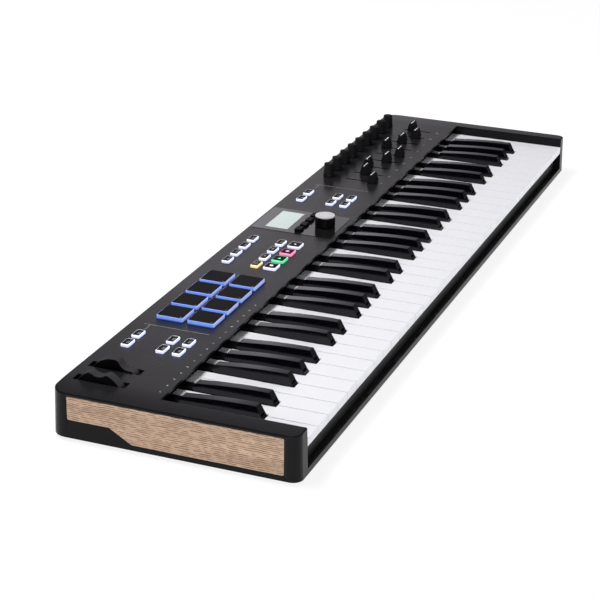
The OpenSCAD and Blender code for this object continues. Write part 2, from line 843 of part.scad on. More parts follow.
module white_body(n) {
    difference() {
        white_block(n, 0, lip_z, key_z);
        white_block(n, key_wall, lip_z - 1, key_z - key_skin);
    }
    block([waist_left(n) + key_wall / 2, contact_y - presser_t / 2, dome_z + air_gap],
        [waist_right(n) - key_wall / 2, contact_y + presser_t / 2, key_z - key_skin / 2]);
}

module white_block(n, inset, z1, z2) {
    translate([0, 0, z1]) linear_extrude(z2 - z1) {
        translate([white_left(n) + inset, key_front + inset])
            square([white_right(n) - white_left(n) - 2 * inset, head_len - 2 * inset]);
        translate([waist_left(n) + inset, key_front + inset])
            square([waist_right(n) - waist_left(n) - 2 * inset, white_back - key_front - 2 * inset]);
    }
}

// Height of a black key's top, which is highest near its front and falls towards the rear
function black_top_z(y) = black_z - pow(y - black_crest_y, 2) / (2 * black_crown_r);

// Black key in Y and Z: a sloped front, a curved top and a steep rear end
module black_side() {
    polygon(concat(
        [[black_front, lip_z], [black_back, lip_z], [black_back, black_top_z(black_end) - black_tail_run]],
        [for (i = [0:black_steps]) let (y = black_end + (black_head - black_end) * i / black_steps)
            [y, black_top_z(y)]],
        [[black_front, key_z - black_foot_drop]]));
}

// Black key in X and Z: upright below the white key tops and narrowing above them
module black_section() {
    foot = black_w / 2;
    head = black_top_w / 2;
    polygon([[-foot, lip_z], [foot, lip_z], [foot, key_z], [head, black_z],
        [-head, black_z], [-foot, key_z]]);
}

module black_body(n) {
    inner = black_w / 2 - key_wall;
    translate([black_mid(n), 0, 0]) {
        difference() {
            intersection() {
                along_x(black_w) black_side();
                along_y(black_front, black_back) black_section();
            }
            block([-inner, black_front + key_wall, lip_z - 1],
                [inner, black_back - key_wall, black_hollow_z]);
        }
        block([-inner - key_wall / 2, contact_y - presser_t / 2, dome_z + air_gap],
            [inner + key_wall / 2, contact_y + presser_t / 2, black_hollow_z + key_skin / 2]);
    }
}

module key_hook(n) {
    y = hook_y(n);
    root_z = is_black(n) ? black_hollow_z + key_skin / 2 : key_z - key_skin / 2;
    block([hook_mid(n) - hook_w / 2, y - hook_t / 2, hook_top - hook_foot_t],
        [hook_mid(n) + hook_w / 2, y + hook_t / 2, root_z]);
    block([hook_mid(n) - hook_w / 2, y - hook_t / 2 - hook_foot, hook_top - hook_foot_t],
        [hook_mid(n) + hook_w / 2, y, hook_top]);
}

module key_tail(n, body_back) {
    block([key_mid(n) - tail_w / 2, body_back - tail_in, pivot_z - eye_r],
        [key_mid(n) + tail_w / 2, pivot_y, pivot_z + eye_r]);
    translate([key_mid(n), pivot_y, pivot_z]) rotate([0, 90, 0])
        cylinder(r = eye_r, h = tail_w, center = true);
}

// All keys of one pitch class
module keys_of(class) {
    for (o = [0:octaves - 1]) key(12 * o + class);
}

// Thumb notch of a wheel, whose round shoulders run from the notch into the rim
shoulder_lap = 0.03;
notch_mid = wheel_r - notch_depth + notch_r;
shoulder_mid = wheel_r - shoulder_r + shoulder_lap;
shoulder_reach = notch_r + shoulder_r - shoulder_lap;
shoulder_y = (pow(shoulder_mid, 2) + pow(notch_mid, 2) - pow(shoulder_reach, 2)) / (2 * notch_mid);
shoulder_x = sqrt(pow(shoulder_mid, 2) - pow(shoulder_y, 2));

module thumb_notch() {
    out = (wheel_r + 1) / shoulder_mid;
    difference() {
        union() {
            translate([0, notch_mid]) circle(notch_r);
            polygon([[0, notch_mid], [-shoulder_x, shoulder_y], [-out * shoulder_x, out * shoulder_y],
                [0, wheel_r + notch_r], [out * shoulder_x, out * shoulder_y], [shoulder_x, shoulder_y]]);
        }
        for (s = [-1, 1]) translate([s * shoulder_x, shoulder_y]) circle(shoulder_r);
    }
}

// Wheels and their bracket
module wheel(x, tilt) {
    pocket = (wheel_w - wheel_web) / 2;
    color(rubber_black) translate([x, wheel_y, wheel_z]) rotate([tilt, 0, 0]) difference() {
        along_x(wheel_w) difference() {
            circle(wheel_r);
            thumb_notch();
            circle(axle_r + run_gap);
        }
        for (s = [-1, 1]) translate([s * (wheel_web + pocket + 1) / 2, 0, 0])
            along_x(pocket + 1) difference() {
                circle(wheel_rim_r);
                circle(wheel_hub_r);
            }
    }
}

module wheel_bracket() {
    side = wheel_w / 2 + wheel_side_gap + bracket_t / 2;
    middle = (wheel_x[0] + wheel_x[1]) / 2;
    ends = [wheel_x[0] - side, wheel_x[1] + side];
    color(steel) {
        block([ends[0] - bracket_t / 2, wheel_y - bracket_base_d / 2, floor_z],
            [ends[1] + bracket_t / 2, wheel_y + bracket_base_d / 2, floor_z + bracket_base_t]);
        for (x = [ends[0], middle, ends[1]]) {
            block([x - bracket_t / 2, wheel_y - bracket_half, floor_z],
                [x + bracket_t / 2, wheel_y + bracket_half, wheel_z + bracket_half]);
        }
        translate([ends[0], wheel_y, wheel_z]) rotate([0, 90, 0])
            cylinder(r = axle_r, h = ends[1] - ends[0]);
    }
}

// Coil spring round the axle, between the pitch wheel and the middle of the bracket
spring_x1 = wheel_x[0] + wheel_w / 2 + wheel_side_gap + spring_wire_r;
spring_x2 = (wheel_x[0] + wheel_x[1] - bracket_t) / 2 - air_gap - spring_wire_r;
spring_sides = 6;
spring_steps = 16;
spring_rings = spring_turns * spring_steps;

function spring_point(ring, side) =
    let (turn = 360 * ring / spring_steps, round = 360 * side / spring_sides,
        r = spring_r + spring_wire_r * cos(round))
    [spring_x1 + (spring_x2 - spring_x1) * ring / spring_rings + spring_wire_r * sin(round),
        wheel_y + r * cos(turn), wheel_z + r * sin(turn)];

function spring_faces() = concat(
    [for (i = [0:spring_rings - 1], j = [0:spring_sides - 1])
        let (a = i * spring_sides + j, b = i * spring_sides + (j + 1) % spring_sides)
        each [[a, b, b + spring_sides], [a, b + spring_sides, a + spring_sides]]],
    [[for (j = [spring_sides - 1:-1:0]) j]],
    [[for (j = [0:spring_sides - 1]) spring_rings * spring_sides + j]]);

module pitch_return_spring() {
    color(steel) polyhedron(
        [for (i = [0:spring_rings], j = [0:spring_sides - 1]) spring_point(i, j)], spring_faces());
}

// Pads and buttons, each with a flange below the panel
module pads() {
    color(rubber_black) for (p = pad_places) translate(p) {
        translate([0, 0, pad_bottom]) linear_extrude(top_z + pad_rise - pad_bottom)
            rounded_rect(pad_side, pad_side, pad_r);
        translate([0, 0, flange_top - flange_t]) linear_extrude(flange_t)
            rounded_rect(pad_side + 2 * flange, pad_side + 2 * flange, pad_r);
    }
}

module button(w, d) {
    translate([0, 0, flange_top - flange_t]) {
        linear_extrude(top_z + button_rise - flange_top + flange_t) button_outline(w, d, 0);
        linear_extrude(flange_t) button_outline(w, d, flange);
    }
    translate([0, 0, plunger_bottom])
        cylinder(r = plunger_r, h = flange_top - flange_t / 2 - plunger_bottom);
}

module function_buttons() {
    color(lit_white) for (p = button_places) translate(p) button(button_w, button_d);
}

module transport_buttons() {
    color(lit_white) for (p = wide_places) translate(p) button(button_w, wide_d);
}

module display_buttons() {
    color(key_black) for (p = soft_places) translate(p) button(soft_w, soft_d);
}

// Boards
module control_boards() {
    color(board_green) {
        for (b = boards) {
            block([b[0], control_front, control_top - board_t], [b[1], control_back, control_top]);
        }
        for (p = concat(button_places, wide_places, soft_places)) {
            translate([p[0], p[1], (control_top + switch_top) / 2])
                cube([switch_side, switch_side, switch_top - control_top], center = true);
        }
        block([pad_x0 - pad_side / 2, pad_y0 - pad_side / 2, control_top],
            [pad_x0 + 3 * pad_pitch_x + pad_side / 2, pad_y0 + pad_pitch_y + pad_side / 2, pad_sensor_top]);
    }
}

module main_board() {
    color(board_green) block([-main_board_w / 2, main_board_back - main_board_d, main_top - board_t],
        [main_board_w / 2, main_board_back, main_top]);
}

// Knobs, faders and the parts that carry them
module knob(i) {
    foot_z = top_z + cap_gap;
    head_z = top_z + knob_h;
    color(rubber_black) translate([strip_x(i), knob_y, 0]) difference() {
        union() {
            rotate_extrude() polygon([[0, foot_z], [knob_r, foot_z], [knob_r, foot_z + knob_skirt / 2],
                [knob_r - knob_skirt_in, foot_z + knob_skirt], [knob_top_r, head_z - knob_edge],
                [knob_top_r - knob_edge, head_z], [0, head_z]]);
            translate([0, 0, control_top + pot_floor + slip_gap])
                cylinder(r = knob_shaft_r, h = head_z - knob_roof - control_top);
        }
        translate([0, 0, foot_z - 1]) linear_extrude(bush_rise + 1 + slip_gap) difference() {
            circle(bush_r + slip_gap);
            circle(knob_shaft_r);
        }
        translate([0, knob_top_r, head_z]) cube([pointer_w, knob_top_r * 1.4, pointer_w], center = true);
    }
}

module rotary_pots() {
    color(steel) {
        for (i = [0:strip_count - 1]) translate([strip_x(i), knob_y, 0])
            rotary_body(pot_w, bush_r, knob_shaft_r, top_z + bush_rise);
        translate([window_x, encoder_y, 0])
            rotary_body(encoder_side, encoder_bush_r, encoder_shaft_r, top_z + window_proud + bush_rise);
    }
}

module rotary_body(side, bush, shaft, bush_top) {
    difference() {
        union() {
            translate([-side / 2, -side / 2, control_top]) cube([side, side, pot_top - control_top]);
            translate([0, 0, control_top]) cylinder(r = bush, h = bush_top - control_top);
        }
        translate([0, 0, control_top + pot_floor]) cylinder(r = shaft + run_gap, h = bush_top - control_top);
    }
}

module fader(i) {
    foot_z = top_z + cap_gap;
    head_z = top_z + fader_h;
    foot = fader_d / 2;
    head = fader_top_d / 2;
    color(rubber_black) translate([strip_x(i), fader_rest_y(i), 0]) {
        along_x(fader_w) polygon([[-foot, foot_z], [foot, foot_z], [foot, foot_z + fader_foot],
            [head, head_z - fader_edge], [head - fader_edge, head_z], [fader_edge - head, head_z],
            [-head, head_z - fader_edge], [-foot, foot_z + fader_foot]]);
        block([-stem_t / 2, -stem_d / 2, control_top + fader_floor + fader_stem_gap],
            [stem_t / 2, stem_d / 2, foot_z + fader_foot]);
    }
}

module fader_pots() {
    body_d = fader_travel + stem_d + 2 * fader_body_end;
    color(steel) for (i = [0:strip_count - 1]) translate([strip_x(i), fader_y, 0]) difference() {
        block([-fader_body_w / 2, -body_d / 2, control_top], [fader_body_w / 2, body_d / 2, pot_top]);
        block([-fader_slot_w / 2, -fader_travel / 2 - stem_d / 2 - slip_gap, control_top + fader_floor],
            [fader_slot_w / 2, fader_travel / 2 + stem_d / 2 + slip_gap, pot_top + 1]);
    }
}

// Sockets on the rear edge of the main board
module rear_sockets() {
    face_y = rear_y - socket_sunk;
    inner_y = rear_y - wall;
    color(steel) {
        usb_socket(face_y);
        midi_socket(inner_y, face_y);
        pedal_socket(inner_y, face_y);
    }
}

module usb_socket(face_y) {
    shell_r = usb_h / 2 - run_gap;
    translate([usb_x, 0, main_top + usb_h / 2]) difference() {
        along_y(face_y - usb_len, face_y) rounded_rect(usb_w, usb_h, shell_r);
        along_y(face_y - usb_depth, face_y + 1) difference() {
            rounded_rect(usb_w - 2 * usb_shell, usb_h - 2 * usb_shell, shell_r - usb_shell);
            square(usb_tongue, center = true);
        }
    }
}

module midi_socket(inner_y, face_y) {
    translate([midi_x, 0, main_top + midi_side / 2]) difference() {
        union() {
            along_y(inner_y - midi_len, inner_y - slip_gap) square(midi_side, center = true);
            along_y(inner_y - 1, face_y) circle(midi_r);
        }
        along_y(face_y - midi_depth, face_y + 1) difference() {
            circle(midi_groove[1]);
            circle(midi_groove[0]);
        }
        along_y(face_y - midi_depth, face_y + 1) for (i = [0:midi_pins - 1])
            rotate(180 * i / (midi_pins - 1)) translate([midi_pin_ring, 0]) circle(midi_pin_r);
    }
}

module pedal_socket(inner_y, face_y) {
    translate([pedal_x, 0, main_top + pedal_side / 2]) difference() {
        union() {
            along_y(inner_y - pedal_depth, inner_y - slip_gap) square(pedal_side, center = true);
            along_y(inner_y - 1, face_y) circle(pedal_bush_r);
        }
        along_y(face_y - pedal_depth, face_y + 1) circle(pedal_bore_r);
    }
}

module pitch_wheel() {
    wheel(wheel_x[0], 0);
}

module mod_wheel() {
    wheel(wheel_x[1], mod_tilt);
}

top_case();
bottom_plate();
wood_inlay_left();
wood_inlay_right();
display_window();
lcd_module();
key_chassis();
key_pivot_rod();
key_return_springs();
key_stop_felts();
key_contact_boards();
key_contact_strips();
wheel_bracket();
pitch_return_spring();
main_board();
control_boards();
fader_pots();
rotary_pots();
rear_sockets();
rubber_feet();
case_screws();
for (class = [0:11]) {
    keys_of(class);
}
key(key_count - 1);  // key_top_c
pitch_wheel();
mod_wheel();
pads();
function_buttons();
transport_buttons();
display_buttons();
encoder_shaft();
encoder_knob();
for (i = [1:strip_count]) {
    knob(i - 1);
    fader(i - 1);
}
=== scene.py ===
"""Looks of a keyboard controller with 61 keys, wheels, pads, buttons, knobs, faders and a display.

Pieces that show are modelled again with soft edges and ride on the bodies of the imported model.
The other nodes keep their own meshes. Everything gets a procedural finish, and the studio holds
the floor, the lamps and the camera. Sizes are in millimetres unless a docstring says otherwise.
"""

import logging
import math
from collections.abc import Callable, Sequence
from dataclasses import dataclass, field
from enum import Enum

import bmesh
import bpy
from mathutils import Matrix, Vector


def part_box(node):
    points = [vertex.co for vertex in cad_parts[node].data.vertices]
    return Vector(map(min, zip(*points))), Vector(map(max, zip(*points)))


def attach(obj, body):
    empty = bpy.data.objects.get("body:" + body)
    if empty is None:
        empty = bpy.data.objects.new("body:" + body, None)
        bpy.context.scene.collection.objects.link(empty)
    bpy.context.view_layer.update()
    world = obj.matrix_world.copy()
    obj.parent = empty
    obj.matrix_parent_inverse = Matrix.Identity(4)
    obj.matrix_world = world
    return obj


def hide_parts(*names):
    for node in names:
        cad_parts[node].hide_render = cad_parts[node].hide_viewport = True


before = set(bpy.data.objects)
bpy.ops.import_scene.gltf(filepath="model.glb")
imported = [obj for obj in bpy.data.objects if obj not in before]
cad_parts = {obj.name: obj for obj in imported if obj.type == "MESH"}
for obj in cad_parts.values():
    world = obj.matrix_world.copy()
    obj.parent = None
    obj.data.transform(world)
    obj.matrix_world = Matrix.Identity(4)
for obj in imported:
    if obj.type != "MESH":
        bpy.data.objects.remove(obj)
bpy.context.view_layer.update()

LOG = logging.getLogger("scene")
MM = 0.001
PANEL_Z = 47.0
CASE_BODY = "case"
INK_RISE = 0.03
FLAT_ANGLE = 0.3  # degrees
WELD = 2e-6  # metres
CUT_SLACK = 1e-7  # metres

Colour = tuple[float, float, float]
Point = tuple[float, float]
Floats = tuple[float, ...]
Points = tuple[Point, ...]
Outline = Sequence[Point]
Triple = tuple[float, float, float]
Tree = bpy.types.NodeTree
Socket = bpy.types.NodeSocket
Face = bmesh.types.BMFace
Edge = bmesh.types.BMEdge
Sockets = bpy.types.bpy_prop_collection
Value = Socket | Sequence[float] | float
Key = str | int


class Group(Enum):
    """Shader node groups that the finishes share."""

    MOULDED = "moulded_skin"
    OAK = "oak_grain"
    GLOW = "glow_fade"
    BRUSHED = "brushed_disc"


@dataclass(frozen=True)
class Finish:
    """A mottled surface with a fine grain."""

    name: str
    slot: str
    colour: Colour
    tint: Colour
    rough: Point = (0.4, 0.5)
    patch: float = 40.0
    grain: float = 1500.0
    depth: float = 0.1
    metal: float = 0.0
    specular: float = 0.5


@dataclass(frozen=True)
class Glow:
    """A lit, milky plastic whose colour fades from its foot, dark as painted shade low in the gap round the
    body, to its top.
    """

    name: str
    slot: str
    foot: Colour
    top: Colour
    span: Point
    strength: float


Look = Finish | Glow

CASE = Finish("case_plastic", "case_black", (0.006, 0.0057, 0.0066), (0.008, 0.0076, 0.0088),
              (0.27, 0.32), 25, 2200, 0.05, specular=0.12)
# Finish of the case's upward faces: its colour is lighter than the sides', painted light where the lamps fall
# on the top.
PANEL_PAINTED_LIGHT = Finish("panel_satin", "case_black", (0.012, 0.0112, 0.0128), (0.015, 0.014, 0.016),
               (0.26, 0.31), 25, 2200, 0.05, specular=0.25)
PLATE = Finish("plate_steel", "plate_black", (0.018, 0.018, 0.019), (0.026, 0.026, 0.027),
               (0.45, 0.6), 30, 1600, 0.15)
OAK = Finish("oak_veneer", "oak", (0.67, 0.475, 0.34), (0.22, 0.13, 0.085), (0.5, 0.65), specular=0.3)
WINDOW = Finish("window_satin", "window", (0.006, 0.006, 0.0065), (0.009, 0.009, 0.0095),
                (0.1, 0.14), 20, 2500, 0.02, specular=1.0)
SCREEN = Finish("screen_glass", "screen", (0.52, 0.61, 0.59), (0.57, 0.66, 0.64), (0.12, 0.2), 18, 900, 0.01)
WHITE_KEY = Finish("white_key_plastic", "white_key", (0.8, 0.8, 0.84), (0.82, 0.82, 0.85),
                   (0.3, 0.34), 30, 700, 0.01, specular=0.3)
# Side faces of the white keys: a lavender tint painted on as the shade in the gaps between keys.
WHITE_SIDE_SHADE = Finish("white_key_side", "white_key", (0.84, 0.81, 0.93), (0.86, 0.83, 0.95),
                    (0.3, 0.4), 30, 700, 0.02)
BLACK_KEY = Finish("black_key_plastic", "black_key", (0.0015, 0.0015, 0.003), (0.0025, 0.0025, 0.0045),
                   (0.1, 0.14), 30, 900, 0.01, specular=0.38)
STEEL = Finish("zinc_steel", "steel", (0.52, 0.53, 0.54), (0.62, 0.62, 0.63),
               (0.28, 0.42), 60, 1200, 0.08, metal=1.0)
SILVER = Finish("turned_alloy", "steel", (0.92, 0.92, 0.93), (0.97, 0.97, 0.98), (0.25, 0.36), metal=0.7)
FELT = Finish("dark_felt", "felt", (0.012, 0.011, 0.012), (0.03, 0.027, 0.028), (0.9, 1.0), 160, 3500, 0.8)
BOARD = Finish("solder_mask", "board", (0.02, 0.09, 0.05), (0.03, 0.12, 0.07), (0.3, 0.45), 90, 900, 0.1)
CONTACT = Finish("contact_silicone", "contact_rubber", (0.05, 0.05, 0.055), (0.075, 0.075, 0.08),
                 (0.6, 0.75), 60, 1200, 0.1)
SOFT = Finish("soft_touch", "soft_black", (0.005, 0.005, 0.006), (0.009, 0.009, 0.010),
              (0.5, 0.62), 60, 2600, 0.12, specular=0.25)
RIM = Finish("wheel_rubber", "soft_black", (0.034, 0.032, 0.036), (0.042, 0.040, 0.044),
             (0.6, 0.7), 60, 2600, 0.1, specular=0.2)
# Dull near-black: the own colour of the screen buttons, the encoder grip and the black keys' front slopes and
# shelves; on the wheels' sides and in the sockets' hollows it is painted shade.
DULL_BLACK_AND_SHADE = Finish("dull_black", "soft_black", (0.0015, 0.0015, 0.002), (0.003, 0.003, 0.0035),
               (0.4, 0.5), 60, 2600, 0.08, specular=0.1)
PAD_TOP = Finish("pad_rubber", "soft_black", (0.010, 0.0092, 0.0105), (0.014, 0.013, 0.0148),
                 (0.65, 0.75), 45, 2400, 0.2, specular=0.2)
PRINT = Finish("print_grey", "panel_print", (0.3, 0.3, 0.31), (0.36, 0.36, 0.37), (0.5, 0.6), 90, 2400, 0.02)
MARK = Finish("print_white", "panel_print", (0.8, 0.8, 0.82), (0.88, 0.88, 0.88),
              (0.45, 0.55), 90, 2400, 0.02)

# The foot colours are painted shade, dark and tinted by each light, low on the bodies and on their feet in the
# panel's holes.
WHITE_GLOW = Glow("lit_white", "lit_button", (0.01, 0.03, 0.16), (0.84, 0.86, 1.0), (46.9, 47.9), 0.5)
YELLOW_GLOW = Glow("lit_yellow", "lit_button", (0.1, 0.07, 0.03), (1.0, 0.85, 0.46), (46.9, 47.9), 0.5)
GREEN_GLOW = Glow("lit_green", "lit_button", (0.01, 0.09, 0.05), (0.16, 0.82, 0.42), (46.9, 47.9), 0.5)
PINK_GLOW = Glow("lit_pink", "lit_button", (0.12, 0.02, 0.06), (1.0, 0.3, 0.55), (46.9, 47.9), 0.5)
BLUE_GLOW = Glow("lit_blue", "lit_pad", (0.008, 0.018, 0.08), (0.36, 0.44, 0.82), (47.2, 48.8), 0.55)
# Deeper blue for the pads' sides that face along X: painted shade on these sides.
DEEP_GLOW_SHADE = Glow("lit_deep_blue", "lit_pad", (0.008, 0.018, 0.1), (0.2, 0.34, 0.88), (47.2, 49.2), 0.5)

# Nodes that keep their own meshes, by finish.
DRESSED = (
    (PLATE, "bottom_plate", "key_chassis"),
    (OAK, "wood_inlay_left", "wood_inlay_right"),
    (SOFT, "rubber_feet"),
    (STEEL, "case_screws", "key_pivot_rod", "key_return_springs", "wheel_bracket", "pitch_return_spring",
     "encoder_shaft", "fader_pots", "rotary_pots"),
    (FELT, "key_stop_felts"),
    (BOARD, "key_contact_boards", "main_board", "control_boards"),
    (CONTACT, "key_contact_strips"),
    (WINDOW, "display_window"),
    (SCREEN, "lcd_module"),
)


@dataclass
class Wires:
    """A shader tree under construction, in which a value is a socket or a constant."""

    tree: Tree

    NOISE_MIDDLE = (0.3, 0.7)
    WHOLE = (0.0, 1.0)
    GRAIN_DROP = 0.0002

    def fill(self, node: bpy.types.Node, inputs: dict[Key, Value]) -> None:
        """Links inputs of a node to sockets, or sets them to constants.

        Args:
            node: the node.
            inputs: the value of each input.
        """
        for name, value in inputs.items():
            if isinstance(value, Socket):
                self.tree.links.new(value, node.inputs[name])
            else:
                node.inputs[name].default_value = value

    def node(self, kind: str, inputs: dict[Key, Value], output: Key = 0,
             **settings: str | Tree) -> Socket:
        """Adds a node.

        Args:
            kind: its type, without the part that all types share.
            inputs: the value of each input.
            output: the output that is wanted.
            settings: the node's own settings.

        Returns:
            The output.
        """
        node = self.tree.nodes.new(f"ShaderNode{kind}")
        for name, setting in settings.items():
            setattr(node, name, setting)
        self.fill(node, inputs)
        return node.outputs[output]

    def coords(self, scale: Sequence[float] = (1, 1, 1)) -> Socket:
        """Gives the object coordinates, stretched by a scale."""
        return self.node("Mapping", {"Vector": self.node("TexCoord", {}, "Object"), "Scale": scale})

    def noise(self, where: Socket, detail: float, scale: Value = 1.0) -> Socket:
        """Gives the noise at a place."""
        return self.node("TexNoise", {"Vector": where, "Detail": detail, "Scale": scale})

    def blend(self, factor: Socket, first: Socket, second: Socket) -> Socket:
        """Mixes two colours by a factor."""
        return self.node("Mix", {0: factor, 6: first, 7: second}, 2, data_type="RGBA")

    def join(self, operation: str, first: Socket, second: Socket) -> Socket:
        """Joins two values by an operation of the math node."""
        return self.node("Math", {0: first, 1: second}, operation=operation)

    def spread(self, value: Socket, low: Value, high: Value, ends: Point = NOISE_MIDDLE) -> Socket:
        """Maps a value between two ends onto another range."""
        inputs = {"Value": value, "From Min": ends[0], "From Max": ends[1], "To Min": low, "To Max": high}
        return self.node("MapRange", inputs)

    def bump(self, height: Socket, strength: Value, drop: float = GRAIN_DROP) -> Socket:
        """Turns a height into a normal, with a drop in metres."""
        return self.node("Bump", {"Height": height, "Strength": strength, "Distance": drop})


OpenGroup = tuple[Wires, Sockets, bpy.types.Node]


class FinishBook:
    """Makes each material once and the node groups that the materials share."""

    SURFACE_IN = {"Colour": "Color", "Tint": "Color", "Smooth": "Float", "Rough": "Float"}
    SKIN_IN = {"Patch": "Float", "Grain": "Float", "Depth": "Float"}
    GLOW_IN = {"Foot": "Color", "Top": "Color", "Low": "Float", "High": "Float"}
    SURFACE_OUT = {"Colour": "Color", "Roughness": "Float", "Normal": "Vector"}
    PATCH_DETAIL = 3.0
    FINE_DETAIL = 2.0
    BAND_STRETCH = (40, 7, 260)
    BAND_DETAIL = 4.0
    BAND_DEPTH = 0.45
    DASH_STRETCH = (60, 170, 420)
    DASH_RANGE = (0.36, 0.54)
    DASH_LEAST = 0.15
    LINE_STRETCH = (1, 0.3, 1)
    LINE_WAVES = {"Scale": 175.0, "Distortion": 4.5, "Detail": 2.0, "Detail Scale": 0.8}
    LINE_RANGE = (0.35, 0.8)
    PORE_BUMP = -0.5
    HAZE_SCALE = 220.0
    HAZE_LEAST = 0.85
    RING_SCALE = 6000.0
    RING_BUMP = 0.04
    RING_DROP = 0.00005
    GLOW_ROUGH = 0.35

    def __init__(self) -> None:
        """Makes the shared groups."""
        self.made: dict[str, bpy.types.Material] = {}
        self.groups: dict[Group, Tree] = {}
        self.moulded_group()
        self.oak_group()
        self.glow_group()
        self.brushed_group()

    def new_group(self, kind: Group, inputs: dict[str, str], outputs: dict[str, str]) -> OpenGroup:
        """Starts a shader node group.

        Args:
            kind: the group.
            inputs: name and type of each input.
            outputs: name and type of each output.

        Returns:
            The wires of its tree, the sockets that it is given and the node that takes its results.
        """
        tree = bpy.data.node_groups.new(kind.value, "ShaderNodeTree")
        for side, sockets in (("INPUT", inputs), ("OUTPUT", outputs)):
            for name, type_name in sockets.items():
                tree.interface.new_socket(name, in_out=side, socket_type=f"NodeSocket{type_name}")
        self.groups[kind] = tree
        return Wires(tree), tree.nodes.new("NodeGroupInput").outputs, tree.nodes.new("NodeGroupOutput")

    @staticmethod
    def close(group: OpenGroup, factor: Socket, normal: Socket, ends: Point = Wires.NOISE_MIDDLE) -> None:
        """Ends a group with its colour and sheen, which one factor picks, and its normal.

        Args:
            group: the group.
            factor: share of the tint and of the roughness.
            normal: the normal.
            ends: ends of the factor for the sheen.
        """
        wires, given, sink = group
        colour = wires.blend(factor, given["Colour"], given["Tint"])
        sheen = wires.spread(factor, given["Smooth"], given["Rough"], ends)
        wires.fill(sink, {"Colour": colour, "Roughness": sheen, "Normal": normal})

    def moulded_group(self) -> None:
        """Makes the group for mottled colour, uneven sheen and a fine grain."""
        group = self.new_group(Group.MOULDED, self.SURFACE_IN | self.SKIN_IN, self.SURFACE_OUT)
        wires, given, _ = group
        where = wires.coords()
        patch = wires.noise(where, self.PATCH_DETAIL, given["Patch"])
        grain = wires.noise(where, self.FINE_DETAIL, given["Grain"])
        self.close(group, patch, wires.bump(grain, given["Depth"]))

    def oak_group(self) -> None:
        """Makes the group for oak grain along Y: soft bands, and wavy lines of short dark pores."""
        group = self.new_group(Group.OAK, self.SURFACE_IN, self.SURFACE_OUT)
        wires = group[0]
        bands = wires.noise(wires.coords(self.BAND_STRETCH), self.BAND_DETAIL)
        dashes = wires.noise(wires.coords(self.DASH_STRETCH), self.FINE_DETAIL)
        waves = {"Vector": wires.coords(self.LINE_STRETCH), **self.LINE_WAVES}
        lines = wires.node("TexWave", waves, "Fac", bands_direction="Z")
        band = wires.spread(bands, 0.0, self.BAND_DEPTH)
        dash = wires.spread(dashes, self.DASH_LEAST, 1.0, self.DASH_RANGE)
        line = wires.spread(lines, 0.0, 1.0, self.LINE_RANGE)
        depth = wires.join("MAXIMUM", band, wires.join("MULTIPLY", line, dash))
        self.close(group, depth, wires.bump(depth, self.PORE_BUMP), Wires.WHOLE)

    def glow_group(self) -> None:
        """Makes the group for a colour that fades with height from a foot of painted shade, a little uneven.
        """
        wires, given, sink = self.new_group(Group.GLOW, self.GLOW_IN, {"Colour": "Color"})
        where = wires.coords()
        height = wires.node("SeparateXYZ", {0: where}, "Z")
        rise = wires.node("MapRange", {"Value": height, "From Min": given["Low"], "From Max": given["High"]})
        haze = wires.spread(wires.noise(where, self.FINE_DETAIL, self.HAZE_SCALE), self.HAZE_LEAST, 1.0)
        share = wires.join("MULTIPLY", rise, haze)
        wires.fill(sink, {"Colour": wires.blend(share, given["Foot"], given["Top"])})

    def brushed_group(self) -> None:
        """Makes the group for turned metal, with fine rings round the Z axis of a centre."""
        group = self.new_group(Group.BRUSHED, self.SURFACE_IN | {"Centre": "Vector"}, self.SURFACE_OUT)
        wires, given, _ = group
        ends = {0: wires.coords((1, 1, 0)), 1: given["Centre"]}
        radius = wires.node("VectorMath", ends, "Value", operation="DISTANCE")
        rings = wires.node("TexNoise", {"W": radius, "Scale": self.RING_SCALE}, noise_dimensions="1D")
        self.close(group, rings, wires.bump(rings, self.RING_BUMP, self.RING_DROP))

    def of(self, finish: Look, centre: Vector | None = None) -> bpy.types.Material:
        """Gives the material of a finish.

        Args:
            finish: the finish wanted.
            centre: axis of turned metal in metres, or None for a finish without one.

        Returns:
            The material, made at its first use.
        """
        if finish.name in self.made:
            return self.made[finish.name]
        material = bpy.data.materials.new(finish.name)
        material.use_nodes = True
        wires = Wires(material.node_tree)
        kind, values = self.recipe(finish, centre)
        given = wires.node("Group", values, node_tree=self.groups[kind]).node.outputs
        inputs = {"Base Color": given["Colour"]}
        if isinstance(finish, Glow):
            inputs |= {"Emission Color": given["Colour"], "Emission Strength": finish.strength,
                       "Roughness": self.GLOW_ROUGH}
        else:
            inputs |= {"Roughness": given["Roughness"], "Normal": given["Normal"], "Metallic": finish.metal,
                       "Specular IOR Level": finish.specular}
        wires.fill(wires.tree.nodes["Principled BSDF"], inputs)
        self.made[finish.name] = material
        return material

    @staticmethod
    def recipe(finish: Look, centre: Vector | None) -> tuple[Group, dict[str, Value]]:
        """Picks the group for a finish.

        Args:
            finish: the finish.
            centre: axis of turned metal in metres, or None.

        Returns:
            The group and the constants that it is given.
        """
        if isinstance(finish, Glow):
            low, high = (level * MM for level in finish.span)
            return Group.GLOW, {"Foot": (*finish.foot, 1), "Top": (*finish.top, 1), "Low": low, "High": high}
        smooth, rough = finish.rough
        values = {"Colour": (*finish.colour, 1), "Tint": (*finish.tint, 1), "Smooth": smooth, "Rough": rough}
        if centre is not None:
            return Group.BRUSHED, values | {"Centre": centre}
        if finish is OAK:
            return Group.OAK, values
        return Group.MOULDED, values | {"Patch": finish.patch, "Grain": finish.grain, "Depth": finish.depth}


BOOK = FinishBook()


